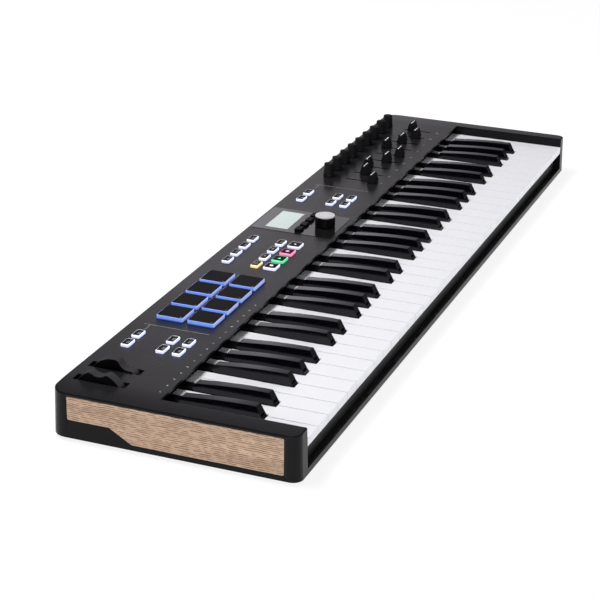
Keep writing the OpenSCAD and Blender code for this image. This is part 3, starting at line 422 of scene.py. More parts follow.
def rounded(width: float, depth: float, radius: float, steps: int = 4) -> Outline:
    """Draws a centred rectangle with round corners.

    Args:
        width: size along X.
        depth: size along Y.
        radius: radius of the corners.
        steps: edges in each corner.

    Returns:
        The outline, counter-clockwise.
    """
    points = []
    for turn, (sx, sy) in enumerate(((1, 1), (-1, 1), (-1, -1), (1, -1))):
        for i in range(steps + 1):
            angle = math.radians(90 * (turn + i / steps))
            points.append((sx * (width / 2 - radius) + radius * math.cos(angle),
                           sy * (depth / 2 - radius) + radius * math.sin(angle)))
    return points


def oblong(x: Sequence[float], y: Sequence[float]) -> Outline:
    """Outline of a rectangle between two places in X and two in Y, counter-clockwise."""
    return [(x[0], y[0]), (x[1], y[0]), (x[1], y[1]), (x[0], y[1])]


def bar(x: float, y: float, width: float, depth: float) -> Outline:
    """Outline of a rectangle round a place, counter-clockwise."""
    return oblong((x - width / 2, x + width / 2), (y - depth / 2, y + depth / 2))


def ring(radius: float, count: int) -> Outline:
    """Points on a circle, counter-clockwise."""
    turns = [2 * math.pi * i / count for i in range(count)]
    return [(radius * math.cos(turn), radius * math.sin(turn)) for turn in turns]


@dataclass
class Shape:
    """A mesh under construction, with the operators that the pieces share."""

    name: str
    bm: bmesh.types.BMesh = field(default_factory=bmesh.new)

    TYPE_SCALE = 1.35
    TYPE_STEPS = 2

    def sheet(self, outline: Outline, level: float, at: Point = (0, 0)) -> Face:
        """Lays a flat face that looks up, with its outline round a centre."""
        verts = [self.bm.verts.new((MM * (at[0] + x), MM * (at[1] + y), MM * level)) for x, y in outline]
        return self.bm.faces.new(verts)

    def grow(self, face: Face, vector: Sequence[float]) -> Face:
        """Draws a face out into a solid.

        Args:
            face: the face at the start.
            vector: way to the other end.

        Returns:
            The face at the other end.
        """
        grown = bmesh.ops.extrude_face_region(self.bm, geom=[face])["geom"]
        verts = [part for part in grown if isinstance(part, bmesh.types.BMVert)]
        bmesh.ops.translate(self.bm, verts=verts, vec=MM * Vector(vector))
        return next(part for part in grown if isinstance(part, Face))

    def prism(self, outline: Outline, low: float, high: float, at: Point = (0, 0)) -> Face:
        """Draws an outline round a centre up from one level to another, and gives the upper face."""
        return self.grow(self.sheet(outline, low, at), (0, 0, high - low))

    def bevel(self, edges: Sequence[Edge], width: float, segments: int = 3) -> None:
        """Rounds edges off."""
        bmesh.ops.bevel(self.bm, geom=list(edges), offset=MM * width, offset_type="OFFSET", segments=segments,
                        profile=0.5, affect="EDGES", clamp_overlap=True, material=-1)

    def lathe(self, profile: Outline, at: Point, steps: int) -> list[bmesh.types.BMVert]:
        """Spins a profile of radius and height round an upright axis.

        Args:
            profile: points from the axis at the foot to the axis at the top.
            at: place of the axis.
            steps: faces round the axis.

        Returns:
            The vertices of the turned solid.
        """
        old = set(self.bm.verts)
        verts = [self.bm.verts.new((MM * (at[0] + r), MM * at[1], MM * z)) for r, z in profile]
        edges = [self.bm.edges.new(pair) for pair in zip(verts, verts[1:])]
        bmesh.ops.spin(self.bm, geom=verts + edges, cent=(MM * at[0], MM * at[1], 0), axis=(0, 0, 1),
                       dvec=(0, 0, 0), angle=2 * math.pi, steps=steps, use_merge=True, use_duplicate=False)
        new = [v for v in self.bm.verts if v not in old]
        bmesh.ops.remove_doubles(self.bm, verts=new, dist=WELD)
        return [v for v in self.bm.verts if v not in old]

    def copy_of(self, node: str, whole: bool = True) -> "Shape":
        """Takes over a node's mesh, merged.

        Args:
            node: the node.
            whole: whether the triangles of its flat faces are joined.

        Returns:
            The shape itself.
        """
        self.bm.from_mesh(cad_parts[node].data)
        bmesh.ops.remove_doubles(self.bm, verts=self.bm.verts, dist=WELD)
        if whole:
            bmesh.ops.dissolve_limit(self.bm, angle_limit=math.radians(FLAT_ANGLE), verts=self.bm.verts,
                                     edges=self.bm.edges)
        return self

    def cut(self, x: float) -> None:
        """Cuts all faces along an upright plane at a place in X, and keeps both halves."""
        geometry = [*self.bm.verts, *self.bm.edges, *self.bm.faces]
        bmesh.ops.bisect_plane(self.bm, geom=geometry, dist=CUT_SLACK, plane_co=(MM * x, 0, 0),
                               plane_no=(1, 0, 0))

    def corners(self, wanted: Callable[[Vector], bool], angle: float = 20) -> list[Edge]:
        """Finds the outward edges above an angle in degrees whose two ends pass a test in millimetres."""
        solid = (e for e in self.bm.edges if e.is_manifold and all(wanted(v.co / MM) for v in e.verts))
        return [edge for edge in solid if edge.calc_face_angle_signed(0) > math.radians(angle)]

    def write(self, figure: str, at: Point, size: float, level: float) -> None:
        """Adds a figure as flat faces that look up.

        Args:
            figure: the number to write.
            at: its centre.
            size: its height.
            level: its level.
        """
        curve = bpy.data.curves.new(f"figure_{figure}", "FONT")
        curve.body = figure
        curve.size = size * MM * self.TYPE_SCALE
        curve.align_x = curve.align_y = "CENTER"
        curve.resolution_u = self.TYPE_STEPS
        holder = bpy.data.objects.new("figure_holder", curve)
        mesh = bpy.data.meshes.new_from_object(holder)
        mesh.transform(Matrix.Translation((at[0] * MM, at[1] * MM, level * MM)))
        self.bm.from_mesh(mesh)
        bpy.data.objects.remove(holder)
        bpy.data.curves.remove(curve)
        bpy.data.meshes.remove(mesh)

    def pick(self, wanted: Callable[[Face], bool]) -> None:
        """Gives the wanted faces the second finish, and the others the first.

        Args:
            wanted: test that a face has to pass.
        """
        self.bm.normal_update()
        for face in self.bm.faces:
            face.material_index = int(wanted(face))

    def done(self, body: str, finish: Look, replaced: Sequence[str] = (), second: Look | None = None,
             smooth: float = 35, turned: bool = True) -> bpy.types.Object:
        """Makes the piece's object.

        Args:
            body: the body that the piece rides on.
            finish: its finish.
            replaced: nodes that it stands for.
            second: finish of the faces with material index 1, or None.
            smooth: angle in degrees above which an edge stays sharp.
            turned: whether its faces are turned outwards first.

        Returns:
            The object of the piece.
        """
        if turned:
            bmesh.ops.recalc_face_normals(self.bm, faces=self.bm.faces)
        mesh = bpy.data.meshes.new(self.name)
        self.bm.to_mesh(mesh)
        self.bm.free()
        mesh.shade_smooth()
        mesh.set_sharp_from_angle(angle=math.radians(smooth))
        for look in (finish, second) if second else (finish,):
            mesh.materials.append(BOOK.of(look))
        piece = bpy.data.objects.new(self.name, mesh)
        piece.modifiers.new("flat_faces", "WEIGHTED_NORMAL").keep_sharp = True
        bpy.context.scene.collection.objects.link(piece)
        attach(piece, body)
        if replaced:
            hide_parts(*replaced)
        LOG.info("%s: %d faces on %s", self.name, len(mesh.polygons), body)
        return piece


def dress(finish: Finish, nodes: Sequence[str]) -> None:
    """Gives nodes that keep their own meshes a finish.

    Args:
        finish: the finish.
        nodes: names of the nodes.
    """
    for name in nodes:
        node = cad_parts[name]
        if not node.material_slots:
            node.data.materials.append(None)
        for slot in node.material_slots:
            slot.material = BOOK.of(finish)
        LOG.info("%s: %s", name, finish.name)


class Icon(Enum):
    """Signs printed on the buttons, each as outlines round its centre, counter-clockwise."""

    SQUARE = (bar(0, 0, 3.4, 3.4),)
    TRIANGLE = (((-1.6, -2.0), (2.0, 0.0), (-1.6, 2.0)),)
    DISC = (ring(2.0, 24),)
    DOT = (ring(1.2, 18),)
    BARS = (bar(-1.2, -0.6, 4.6, 0.6), bar(-0.6, -1.9, 5.8, 0.6))
    BACK = (((-1.8, 0.0), (0.0, -1.5), (0.0, 1.5)), ((0.1, 0.0), (1.9, -1.5), (1.9, 1.5)))
    FORWARD = (((1.8, 0.0), (0.0, 1.5), (0.0, -1.5)), ((-0.1, 0.0), (-1.9, 1.5), (-1.9, -1.5)))
    FRAME = (bar(0, 1.3, 4.4, 0.7), bar(0, -1.3, 4.4, 0.7), bar(-1.85, 0, 0.7, 1.9), bar(1.85, 0, 0.7, 1.9))


@dataclass
class CaseWork:
    """Case with its rear sockets and the print on its panel.

    A divider has its place in X, its two ends in Y, and the end and the place of its short side line.
    A row of figures has its count, its start in X, its pitch, its place in Y and a figure's height.
    A hollow of a socket has its place in X, its half width and height, and a power that is higher for
    a squarer outline.
    """

    ink_z: float = PANEL_Z + 0.04
    line_w: float = 0.6
    dividers: tuple[Floats, ...] = ((-286.0, 35.7, 101.4, -298.0, 95.0), (144.3, 35.8, 99.7, 132.3, 94.4))
    figures: tuple[tuple[int, float, float, float, float], ...] = (
        (16, -411.3, 13.7, 24.3, 2.08), (9, 177.5, 25.7, 31.0, 2.6))
    half_w: float = 443.0
    level_w: float = 408.0
    fall: float = 1.45
    fall_band: float = 1.5
    fall_cuts: Floats = (408, 411, 414, 417, 420, 424.5, 428, 431, 434, 437, 440)
    upright: tuple[Point, Point] = ((103.0, 106.0), (98.5, 101.0))
    lean: float = 1.2
    low_z: float = 3.5
    panel_slope: float = 0.9
    level_slope: float = 0.99999
    hollows: tuple[Floats, ...] = ((-42.0, 4.3, 1.4, 8), (-8.0, 7.6, 7.6, 2), (32.0, 3.4, 3.4, 2))

    def build(self) -> None:
        """Models the case and the sockets, and lays the printed lines and figures on the panel."""
        self.shell()
        self.sockets()
        lines = Shape("panel_lines")
        half = self.line_w / 2
        for x, front, back, tick_x, tick_y in self.dividers:
            lines.sheet(oblong((x - half, x + half), (front, back)), self.ink_z)
            lines.sheet(oblong(sorted((x - half, tick_x)), (tick_y - half, tick_y + half)), self.ink_z)
        lines.done(CASE_BODY, PRINT, turned=False)
        figures = Shape("panel_figures")
        for count, x, pitch, y, size in self.figures:
            for i in range(count):
                figures.write(str(i + 1), (x + i * pitch, y), size, self.ink_z)
        figures.done(CASE_BODY, MARK, turned=False)

    def shell(self) -> None:
        """Models the case with ends that fall a little at the top, and a front and rear that lean inwards."""
        shape = Shape("top_case_shell").copy_of("top_case", whole=False)
        for x in self.fall_cuts:
            shape.cut(x)
            shape.cut(-x)
        for v in shape.bm.verts:
            x, y, z = v.co / MM
            start, end = self.upright[y > 0]
            share = min(1.0, max(0.0, (abs(y) - start) / (end - start)))
            v.co.y -= math.copysign(MM * self.lean * share * (z - self.low_z) / (PANEL_Z - self.low_z), y)
            if z > PANEL_Z - self.fall_band:
                out = max(0.0, (abs(x) - self.level_w) / (self.half_w - self.level_w))
                v.co.z -= MM * self.fall * out ** 2
        # Faces that look up take the lighter top finish: painted light on the top.
        shape.pick(lambda face: face.normal.z > self.panel_slope)
        piece = shape.done(CASE_BODY, CASE, ("top_case",), PANEL_PAINTED_LIGHT, turned=False)
        for polygon in piece.data.polygons:
            polygon.use_smooth = polygon.normal.z < self.level_slope

    def sockets(self) -> None:
        """Copies the rear sockets, with bright shells and the middle of each painted dark as the shade of its
        opening.
        """
        shape = Shape("rear_sockets_shell").copy_of("rear_sockets", whole=False)
        for place, half_w, half_h, power in self.hollows:
            levels = [v.co.z / MM for v in shape.bm.verts if abs(v.co.x / MM - place) < 2 * half_w]
            middle = (min(levels) + max(levels)) / 2
            for face in shape.bm.faces:
                x, _, z = face.calc_center_median() / MM
                if (abs(x - place) / half_w) ** power + (abs(z - middle) / half_h) ** power < 1:
                    face.material_index = 1
        shape.done(CASE_BODY, STEEL, ("rear_sockets",), DULL_BLACK_AND_SHADE, turned=False)


@dataclass
class Keybed:
    """White and black keys."""

    white: tuple[str, ...] = ("key_c", "key_d", "key_e", "key_f", "key_g", "key_a", "key_b", "key_top_c")
    black: tuple[str, ...] = ("key_c_sharp", "key_d_sharp", "key_f_sharp", "key_g_sharp", "key_a_sharp")
    white_edge: float = 0.4
    black_edge: float = 0.35
    black_corner: float = 12.0
    lip_z: float = 28.6
    hidden_y: float = 24.0
    side_slope: float = 0.8
    black_foot: float = 37.0
    black_high: float = 47.0
    shelf_w: float = 10.0
    shelf_y: Point = (2.0, 24.0)
    shelf_z: Point = (36.0, 39.5)
    tail_y: float = 3.5
    tail_shift: float = 3.0
    front_slope: float = -0.5

    def build(self) -> None:
        """Rounds the edges of the keys, and lets the black keys run on under the panel at a lower level."""
        for node in self.white:
            shape = Shape(f"{node}_white").copy_of(node)
            shape.bevel(shape.corners(lambda p: p.z > self.lip_z and p.y < self.hidden_y), self.white_edge)
            # Faces that look along X take the lavender painted shade of the gaps.
            shape.pick(lambda face: abs(face.normal.x) > self.side_slope)
            shape.done(node, WHITE_KEY, (node,), WHITE_SIDE_SHADE)
        for node in self.black:
            shape = Shape(f"{node}_black").copy_of(node)
            for v in shape.bm.verts:
                if v.co.y > self.tail_y * MM and v.co.z > self.black_foot * MM:
                    v.co.y += self.tail_shift * MM
            shape.bevel(shape.corners(lambda p: p.z > self.black_foot, self.black_corner), self.black_edge)
            shape.pick(lambda face: face.normal.y < self.front_slope
                       and face.calc_center_median().z > self.black_foot * MM)
            self.shelves(shape)
            shape.done(node, BLACK_KEY, (node,), DULL_BLACK_AND_SHADE)

    def shelves(self, shape: Shape) -> None:
        """Adds the low rear end of each black key in a shape.

        Args:
            shape: the shape of the keys of one node.
        """
        tops = sorted(v.co.x / MM for v in shape.bm.verts if v.co.z / MM > self.black_high)
        keys = [[tops[0]]]
        for x in tops[1:]:
            if x - keys[-1][-1] > self.shelf_w:
                keys.append([])
            keys[-1].append(x)
        old = set(shape.bm.faces)
        outline = oblong((-self.shelf_w / 2, self.shelf_w / 2), self.shelf_y)
        for key in keys:
            face = shape.prism(outline, *self.shelf_z, ((key[0] + key[-1]) / 2, 0))
            shape.bevel(face.edges, self.black_edge)
        for face in shape.bm.faces:
            if face not in old:
                face.material_index = 1


@dataclass
class Wheels:
    """The two wheels."""

    nodes: tuple[str, ...] = ("pitch_wheel", "mod_wheel")
    edge: float = 0.7
    edge_steps: int = 2
    rim_corner: float = 60.0
    side_slack: float = 0.01
    side_slope: float = 0.9

    def build(self) -> None:
        """Rounds the rims of the wheels."""
        for node in self.nodes:
            shape = Shape(f"{node}_rim").copy_of(node)
            sides = [end.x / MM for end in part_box(node)]
            rims = shape.corners(lambda p: min(abs(p.x - side) for side in sides) < self.side_slack,
                                 self.rim_corner)
            shape.bevel(rims, self.edge, self.edge_steps)
            # Sides that face along X take the near-black: painted shade on the wheels' sides.
            shape.pick(lambda face: abs(face.normal.x) > self.side_slope)
            shape.done(node, RIM, (node,), DULL_BLACK_AND_SHADE)


@dataclass(frozen=True)
class LitCap:
    """Levels and edges of a lit body on a wider foot, with a dark cap in its top."""

    low: float
    ledge: float
    high: float
    body_edge: float
    cap_depth: float
    cap_edge: float
    cap_steps: int = 2
    proud: float = 0.15

    def build(self, body: Shape, top: Shape, outlines: Sequence[Outline], places: Sequence[Point]) -> None:
        """Models one lit body and its cap.

        Args:
            body: shape of the lit bodies.
            top: shape of the caps.
            outlines: outlines of the foot, the body and the cap.
            places: centres of the three.
        """
        foot, side, inner = outlines
        body.prism(foot, self.low, self.ledge, places[0])
        face = body.prism(side, self.ledge, self.high - self.proud, places[1])
        body.bevel(face.edges, self.body_edge)
        cap = top.prism(inner, self.high - self.cap_depth, self.high, places[2])
        top.bevel(cap.edges, self.cap_edge, self.cap_steps)


@dataclass
class Pads:
    """Eight pads with lit sides and dark tops."""

    foot: float = 27.4
    side: float = 26.9
    shift: Point = (0.3, 0.78)
    radius: float = 1.5
    cap: LitCap = LitCap(44.0, 46.4, 51.6, 0.4, 0.6, 0.25)
    rim: float = 0.42
    columns: Floats = (-259.0, -227.0, -195.0, -163.0)
    rows: Floats = (50.4, 81.9)
    figure: float = 1.8
    figure_inset: float = 2.2
    side_slope: float = 0.7

    def build(self) -> None:
        """Models the lit bodies on their wider feet, the tops and the figures on them."""
        body, top, figures = Shape("pads_lit"), Shape("pads_top"), Shape("pads_figure")
        inner = self.side - 2 * self.rim
        outlines = [rounded(size, size, self.radius) for size in (self.foot, self.side, inner)]
        places = [(x, y) for y in self.rows for x in self.columns]
        for number, (x, y) in enumerate(places, 1):
            at = (x + self.shift[0], y + self.shift[1])
            self.cap.build(body, top, outlines, ((x, y), at, at))
            corner = (at[0] - inner / 2 + self.figure_inset, at[1] - inner / 2 + self.figure_inset)
            figures.write(str(number), corner, self.figure, self.cap.high + INK_RISE)
        # Sides that face along X take the deeper blue painted shade.
        body.pick(lambda face: abs(face.normal.x) > self.side_slope)
        body.done("pads", BLUE_GLOW, ("pads",), DEEP_GLOW_SHADE)
        top.done("pads", PAD_TOP)
        figures.done("pads", BLUE_GLOW, turned=False)


Kind = tuple[Icon, Glow]


@dataclass
class Buttons:
    """Lit buttons with dark printed tops, and the plain buttons under the screen.

    A bank has the place of its first button and its count. The rows in the middle have signs and lights.
    """

    foot_w: float = 15.5
    width: float = 14.9
    depths: Point = (9.7, 8.3)
    wide_depths: Point = (14.0, 13.4)
    shift: Point = (0.25, 0.45)
    wide_shift: Point = (0.25, 0.0)
    radius: float = 1.6
    cap: LitCap = LitCap(44.3, 46.5, 49.9, 0.5, 0.5, 0.2)
    cap_radius: float = 0.8
    cap_shift: Point = (0.3, 0.25)
    rim: Point = (1.3, 0.8)
    pitch: float = 21.4
    banks: tuple[tuple[float, float, int], ...] = (
        (-334.4, 93.7, 2), (-334.4, 59.0, 2), (-334.4, 43.0, 2), (89.4, 93.7, 2), (89.4, 59.0, 2),
        (89.4, 43.0, 2), (-111.8, 93.7, 4))
    lower_at: Point = (-111.8, 62.3)
    lower: tuple[Kind, ...] = ((Icon.FRAME, YELLOW_GLOW), (Icon.BACK, WHITE_GLOW), (Icon.FORWARD, WHITE_GLOW),
                               (Icon.BARS, WHITE_GLOW))
    wide_at: Point = (-111.8, 46.5)
    wide: tuple[Kind, ...] = ((Icon.SQUARE, WHITE_GLOW), (Icon.TRIANGLE, GREEN_GLOW), (Icon.DISC, PINK_GLOW),
                              (Icon.DOT, WHITE_GLOW))
    soft: Point = (11.0, 7.5)
    soft_x: Floats = (-0.6, 14.4, 29.4, 44.4)
    soft_y: float = 61.0

    def row(self, at: Point, kinds: Sequence[Kind]) -> list[tuple[Point, Kind]]:
        """Lists the places of a row of buttons with their signs and lights."""
        return [((at[0] + i * self.pitch, at[1]), kind) for i, kind in enumerate(kinds)]

    def build(self) -> None:
        """Models all the buttons."""
        small = self.row(self.lower_at, self.lower)
        for x, y, count in self.banks:
            small += self.row((x, y), [(Icon.BARS, WHITE_GLOW)] * count)
        self.group("function_buttons", small, self.depths, self.shift, PRINT)
        wide = self.row(self.wide_at, self.wide)
        self.group("transport_buttons", wide, self.wide_depths, self.wide_shift)
        plain = Shape("display_buttons_cap")
        outline = rounded(*self.soft, self.radius)
        for x in self.soft_x:
            face = plain.prism(outline, self.cap.low, self.cap.high, (x, self.soft_y))
            plain.bevel(face.edges, self.cap.body_edge)
        plain.done("display_buttons", DULL_BLACK_AND_SHADE, ("display_buttons",))

    def group(self, node: str, places: Sequence[tuple[Point, Kind]], depths: Point, shift: Point,
              ink: Finish | None = None) -> None:
        """Models the buttons of one node.

        Args:
            node: the node that they stand for.
            places: place of each button, with its sign and light.
            depths: depth of a button's foot and of its body.
            shift: way from the middle of a foot to that of its body.
            ink: finish of the signs, or None for signs in the button's light.
        """
        outlines = (rounded(self.foot_w, depths[0], self.radius), rounded(self.width, depths[1], self.radius),
                    rounded(self.width - 2 * self.rim[0], depths[1] - 2 * self.rim[1], self.cap_radius))
        top = Shape(f"{node}_top")
        for name, glow in sorted({glow.name: glow for _, (_, glow) in places}.items()):
            body, signs = Shape(f"{node}_{name}"), Shape(f"{node}_{name}_sign")
            for foot, (icon, light) in places:
                if light is not glow:
                    continue
                at = (foot[0] + shift[0], foot[1] + shift[1])
                cap_at = (at[0] + self.cap_shift[0], at[1] + self.cap_shift[1])
                self.cap.build(body, top, outlines, (foot, at, cap_at))
                for outline in icon.value:
                    signs.sheet(outline, self.cap.high + INK_RISE, cap_at)
            body.done(node, glow, (node,))
            signs.done(node, ink or glow, turned=False)
        top.done(node, SOFT)


@dataclass
class Display:
    """Lit screen and encoder.

    The points of the groove have their depth and their height over the foot.
    """

    x: float = 21.9
    screen_y: float = 86.1
    screen: Point = (50.8, 25.2)
    screen_r: float = 0.6
    level: float = 47.34
    encoder_y: float = 40.5
    radius: float = 10.7
    foot: float = 48.1
    head: float = 59.7
    chamfer: float = 0.5
    groove: Points = ((0.0, 2.4), (0.35, 2.7), (0.35, 3.2), (0.0, 3.5))
    grip_drop: float = 1.0
    cap_drops: Point = (1.4, 0.5)
    cap_insets: Point = (0.15, 0.6)
    steps: int = 96

    def build(self) -> None:
        """Models the lit screen and the encoder knob with its turned cap."""
        lcd = Shape("lcd_face")
        lcd.sheet(rounded(*self.screen, self.screen_r), self.level, (self.x, self.screen_y))
        lcd.done(CASE_BODY, SCREEN, turned=False)
        at = (self.x, self.encoder_y)
        r, low, high = self.radius, self.foot, self.head
        grip = Shape("encoder_grip")
        rim = high - self.grip_drop
        foot = [(0, low), (r - self.chamfer, low), (r, low + self.chamfer)]
        side = [(r - depth, low + z) for depth, z in self.groove]
        grip.lathe([*foot, *side, (r, rim), (0, rim)], at, self.steps)
        grip.done("encoder_knob", DULL_BLACK_AND_SHADE, ("encoder_knob",))
        cap = Shape("encoder_cap")
        under, edge = (high - drop for drop in self.cap_drops)
        wide, slim = (r - inset for inset in self.cap_insets)
        cap.lathe([(0, under), (wide, under), (wide, edge), (slim, high), (0, high)], at, self.steps)
        BOOK.of(SILVER, Vector((*at, 0)) * MM)
        cap.done("encoder_knob", SILVER)


@dataclass
class Strips:
    """Knobs and faders.

    The points of a knob's skirt stand off its wide radius and its foot, those of its crown off its slim
    radius and its head, and those of a fader's ridge off the slope of its side.
    """

    count: int = 9
    first_x: float = 177.5
    pitch: float = 25.7
    knob_y: float = 95.5
    knob_foot: float = 47.6
    knob_head: float = 62.4
    knob_r: Point = (6.4, 5.4)
    knob_skirt: Points = ((-0.3, 0.0), (0.0, 0.3), (0.0, 0.7), (-0.12, 1.6), (-0.16, 2.1))
    knob_crown: Points = ((0.06, -1.0), (-0.12, -0.3), (-0.5, 0.0))
    knob_smooth: float = 50.0
    flutes: int = 18
    flute: float = 0.22
    flute_ends: Point = (1.6, 0.5)
    flute_steps: int = 4
    rest: Floats = (42.3, 60.2, 66.1, 52.2, 45.2, 70.0, 59.1, 50.0, 62.9)
    cap_w: float = 14.0
    cap_d: Point = (9.5, 4.6)
    cap_z: Point = (47.6, 57.6)
    cap_skirt: float = 1.5
    cap_crown: float = 1.1
    cap_edge: float = 0.3
    cap_steps: int = 2
    cap_corner: float = 40.0
    ridges: int = 3
    ridge: Points = ((0.1, -0.45), (-0.3, 0.0), (-0.08, 0.45))
    line: Point = (13.6, 0.9)
    line_rise: float = 0.04

    def build(self) -> None:
        """Models the knobs and faders."""
        for i in range(self.count):
            x = self.first_x + i * self.pitch
            self.knob(f"knob_{i + 1}", x)
            self.fader(f"fader_{i + 1}", x, self.rest[i])

    def knob(self, node: str, x: float) -> None:
        """Models a fluted knob.

        Args:
            node: the node that it stands for.
            x: its place.
        """
        foot, head = self.knob_foot, self.knob_head
        wide, slim = self.knob_r
        shape = Shape(f"{node}_grip")
        skirt = [(wide + out, foot + up) for out, up in self.knob_skirt]
        crown = [(slim + out, head + up) for out, up in self.knob_crown]
        profile = [(0, foot), *skirt, *crown, (0, head)]
        for v in shape.lathe(profile, (x, self.knob_y), self.flute_steps * self.flutes):
            if foot + self.flute_ends[0] < v.co.z / MM < head - self.flute_ends[1]:
                turn = math.atan2(v.co.y / MM - self.knob_y, v.co.x / MM - x)
                shrink = self.flute * (0.5 - 0.5 * math.cos(self.flutes * turn)) / slim
                v.co.x -= (v.co.x - x * MM) * shrink
                v.co.y -= (v.co.y - self.knob_y * MM) * shrink
        shape.done(node, SOFT, (node,), smooth=self.knob_smooth)

    def fader(self, node: str, x: float, y: float) -> None:
        """Models a fader cap with ridges across its sloping sides and a line on its top.

        Args:
            node: the node that it stands for.
            x: place of its slot.
            y: place of the cap at rest.
        """
        shape = Shape(f"{node}_cap")
        low, high = self.cap_z
        foot, head = (depth / 2 for depth in self.cap_d)
        start = low + self.cap_skirt
        side = [(foot, low), (foot, start)]
        for k in range(1, self.ridges + 1):
            mid = start + (high - start - self.cap_crown) * k / (self.ridges + 1)
            slope = foot + (head - foot) * (mid - start) / (high - start)
            side += [(slope + out, mid + up) for out, up in self.ridge]
        side += [(head, high)]
        outline = side + [(-out, z) for out, z in reversed(side)]
        verts = [shape.bm.verts.new((MM * (x - self.cap_w / 2), MM * (y + out), MM * z)) for out, z in outline]
        shape.grow(shape.bm.faces.new(verts), (self.cap_w, 0, 0))
        bmesh.ops.recalc_face_normals(shape.bm, faces=shape.bm.faces)
        shape.bevel(shape.corners(lambda p: True, self.cap_corner), self.cap_edge, self.cap_steps)
        shape.done(node, SOFT, (node,))
        line = Shape(f"{node}_line")
        line.sheet(bar(0, 0, *self.line), high + self.line_rise, (x, y))
        line.done(node, MARK, turned=False)


@dataclass(frozen=True)
class Lamp:
    """An area lamp, which mirrors see or not. Lengths are in metres, its power in watts."""

    name: str
    at: Triple
    aim: Triple
    size: Point
    power: float
    mirrored: bool = True


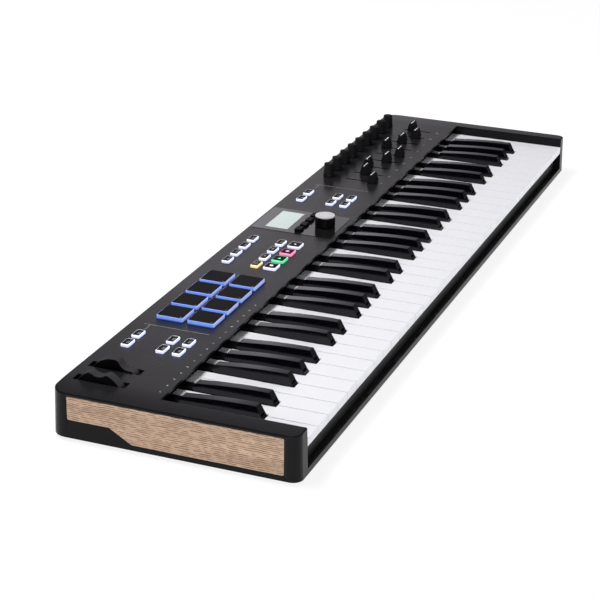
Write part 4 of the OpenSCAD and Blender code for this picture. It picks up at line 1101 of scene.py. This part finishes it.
@dataclass
class Studio:
    """Floor, surroundings, lamps and camera. Places are in metres, angles in radians.

    The stops of the glow that mirrors see have a height or a share of the turn, and a brightness.
    """

    eye: Triple = (-1.648474, -0.585428, 0.710579)
    azimuth: float = 1.19806
    elevation: float = 0.3975
    roll: float = 0.01489
    lens: float = 107.6076
    sensor: float = 36.0
    clip: Point = (0.05, 60.0)
    lamps: tuple[Lamp, ...] = (
        Lamp("top_box", (-0.25, 0.75, 1.8), (0.0, 0.0, 0.0), (1.8, 0.45), 43, mirrored=False),
        Lamp("end_box", (-2.2, -0.6, 0.5), (-0.44, 0.0, 0.03), (1.2, 0.6), 17.5),
        Lamp("front_box", (1.0, -2.2, 0.5), (0.0, -0.1, 0.03), (1.8, 0.6), 33, mirrored=False),
    )
    sky: float = 0.1
    floor_half: float = 12.0
    floor_parts: int = 4
    floor_rough: float = 0.9
    floor_lift: float = 0.85
    floor_albedo: Point = (0.7, 0.2)
    floor_reach: Point = (0.75, 1.0)
    floor_stretch: Triple = (0.9, 2.0, 1.0)
    glow_rise: Points = (
        (0.0, 1.1), (0.295, 1.1), (0.33, 1.0), (0.35, 0.95), (0.39, 0.75), (0.425, 0.52), (0.47, 0.26),
        (0.52, 0.10), (0.60, 0.05), (1.0, 0.04))
    glow_turn: Points = (
        (0.50, 0.06), (0.528, 0.15), (0.544, 0.35), (0.556, 0.72), (0.562, 1.0), (0.570, 1.35), (0.574, 1.1),
        (0.578, 0.65), (0.583, 0.3), (0.60, 0.2), (0.70, 0.2), (0.75, 0.06))
    glow_tint: Colour = (0.98, 0.94, 1.0)

    SEEING = ("Camera", "Glossy", "Transmission")

    def build(self) -> None:
        """Sets the studio up round the object."""
        scene = bpy.context.scene
        scene.view_settings.view_transform = "Standard"
        self.floor()
        self.surroundings()
        for lamp in self.lamps:
            data = bpy.data.lights.new(lamp.name, "AREA")
            data.shape = "RECTANGLE"
            data.size, data.size_y = lamp.size
            data.energy = lamp.power
            holder = bpy.data.objects.new(lamp.name, data)
            holder.visible_glossy = lamp.mirrored
            holder.location = lamp.at
            holder.rotation_euler = (Vector(lamp.aim) - Vector(lamp.at)).to_track_quat("-Z", "Y").to_euler()
            scene.collection.objects.link(holder)
        self.camera()

    def floor(self) -> None:
        """Lays a pale floor, which the camera and, close by, mirrors see as white outside the shadow."""
        bm = bmesh.new()
        parts = self.floor_parts
        bmesh.ops.create_grid(bm, x_segments=parts, y_segments=parts, size=self.floor_half)
        mesh = bpy.data.meshes.new("floor")
        bm.to_mesh(mesh)
        bm.free()
        floor = bpy.data.objects.new("floor", mesh)
        material = bpy.data.materials.new("floor_white")
        material.use_nodes = True
        wires = Wires(material.node_tree)
        shown = self.seen(wires)
        reach = wires.node("VectorMath", {0: wires.coords(self.floor_stretch)}, "Value", operation="LENGTH")
        near = wires.spread(reach, self.floor_lift, 0.0, self.floor_reach)
        camera = wires.node("LightPath", {}, "Is Camera Ray")
        lift = wires.spread(camera, near, self.floor_lift, Wires.WHOLE)
        wires.fill(wires.tree.nodes["Principled BSDF"], {
            "Roughness": self.floor_rough, "Specular IOR Level": 0.0, "Emission Color": (1, 1, 1, 1),
            "Base Color": wires.spread(shown, *self.floor_albedo, Wires.WHOLE),
            "Emission Strength": wires.spread(shown, 0.0, lift, Wires.WHOLE)})
        mesh.materials.append(material)
        bpy.context.scene.collection.objects.link(floor)

    @staticmethod
    def seen(wires: Wires) -> Socket:
        """Gives 1 for rays from the camera, from mirrors and through glass, and 0 for the others."""
        lens, mirror, glass = (wires.node("LightPath", {}, f"Is {kind} Ray") for kind in Studio.SEEING)
        return wires.join("MAXIMUM", wires.join("MAXIMUM", lens, mirror), glass)

    @staticmethod
    def ramp(wires: Wires, value: Socket, stops: Sequence[Point], tint: Colour) -> Socket:
        """Turns a value into a tinted brightness.

        Args:
            wires: the tree to add to.
            value: the value.
            stops: place and brightness of each stop.
            tint: colour of the brightness.

        Returns:
            The colour.
        """
        node = wires.tree.nodes.new("ShaderNodeValToRGB")
        elements = node.color_ramp.elements
        while len(elements) < len(stops):
            elements.new(0.5)
        for element, (place, level) in zip(elements, stops):
            element.position = place
            element.color = (*(level * part for part in tint), 1)
        wires.fill(node, {0: value})
        return node.outputs[0]

    def surroundings(self) -> None:
        """Makes a dim, even world for light, in which the camera and mirrors see a bright backdrop."""
        world = bpy.data.worlds.new("studio")
        world.use_nodes = True
        wires = Wires(world.node_tree)
        place = wires.node("TexCoord", {}, "Generated")
        rise = self.ramp(wires, wires.node("SeparateXYZ", {0: place}, "Z"), self.glow_rise, self.glow_tint)
        turn = wires.node("TexGradient", {"Vector": place}, "Fac", gradient_type="RADIAL")
        side = self.ramp(wires, turn, self.glow_turn, (1, 1, 1))
        light = wires.node("Background", {"Color": (1, 1, 1, 1), "Strength": self.sky})
        backdrop = wires.node("Background", {"Color": rise, "Strength": side})
        mix = wires.node("MixShader", {0: self.seen(wires), 1: light, 2: backdrop})
        wires.fill(wires.tree.nodes["World Output"], {"Surface": mix})
        bpy.context.scene.world = world

    def camera(self) -> None:
        """Places the camera where the photo was taken from."""
        data = bpy.data.cameras.new("camera")
        data.lens, data.sensor_width = self.lens, self.sensor
        data.clip_start, data.clip_end = self.clip
        holder = bpy.data.objects.new("camera", data)
        holder.matrix_world = Matrix.Translation(self.eye)
        for angle, axis in ((-self.azimuth, "Z"), (math.pi / 2 - self.elevation, "X"), (self.roll, "Z")):
            holder.matrix_world @= Matrix.Rotation(angle, 4, axis)
        bpy.context.scene.collection.objects.link(holder)
        bpy.context.scene.camera = holder


def main() -> None:
    """Builds the pieces in order, then the studio."""
    logging.basicConfig(level=logging.INFO, format="%(message)s")
    for assembly in (CaseWork(), Keybed(), Wheels(), Pads(), Buttons(), Display(), Strips()):
        assembly.build()
    for finish, *nodes in DRESSED:
        dress(finish, nodes)
    Studio().build()


if __name__ == "__main__":
    main()
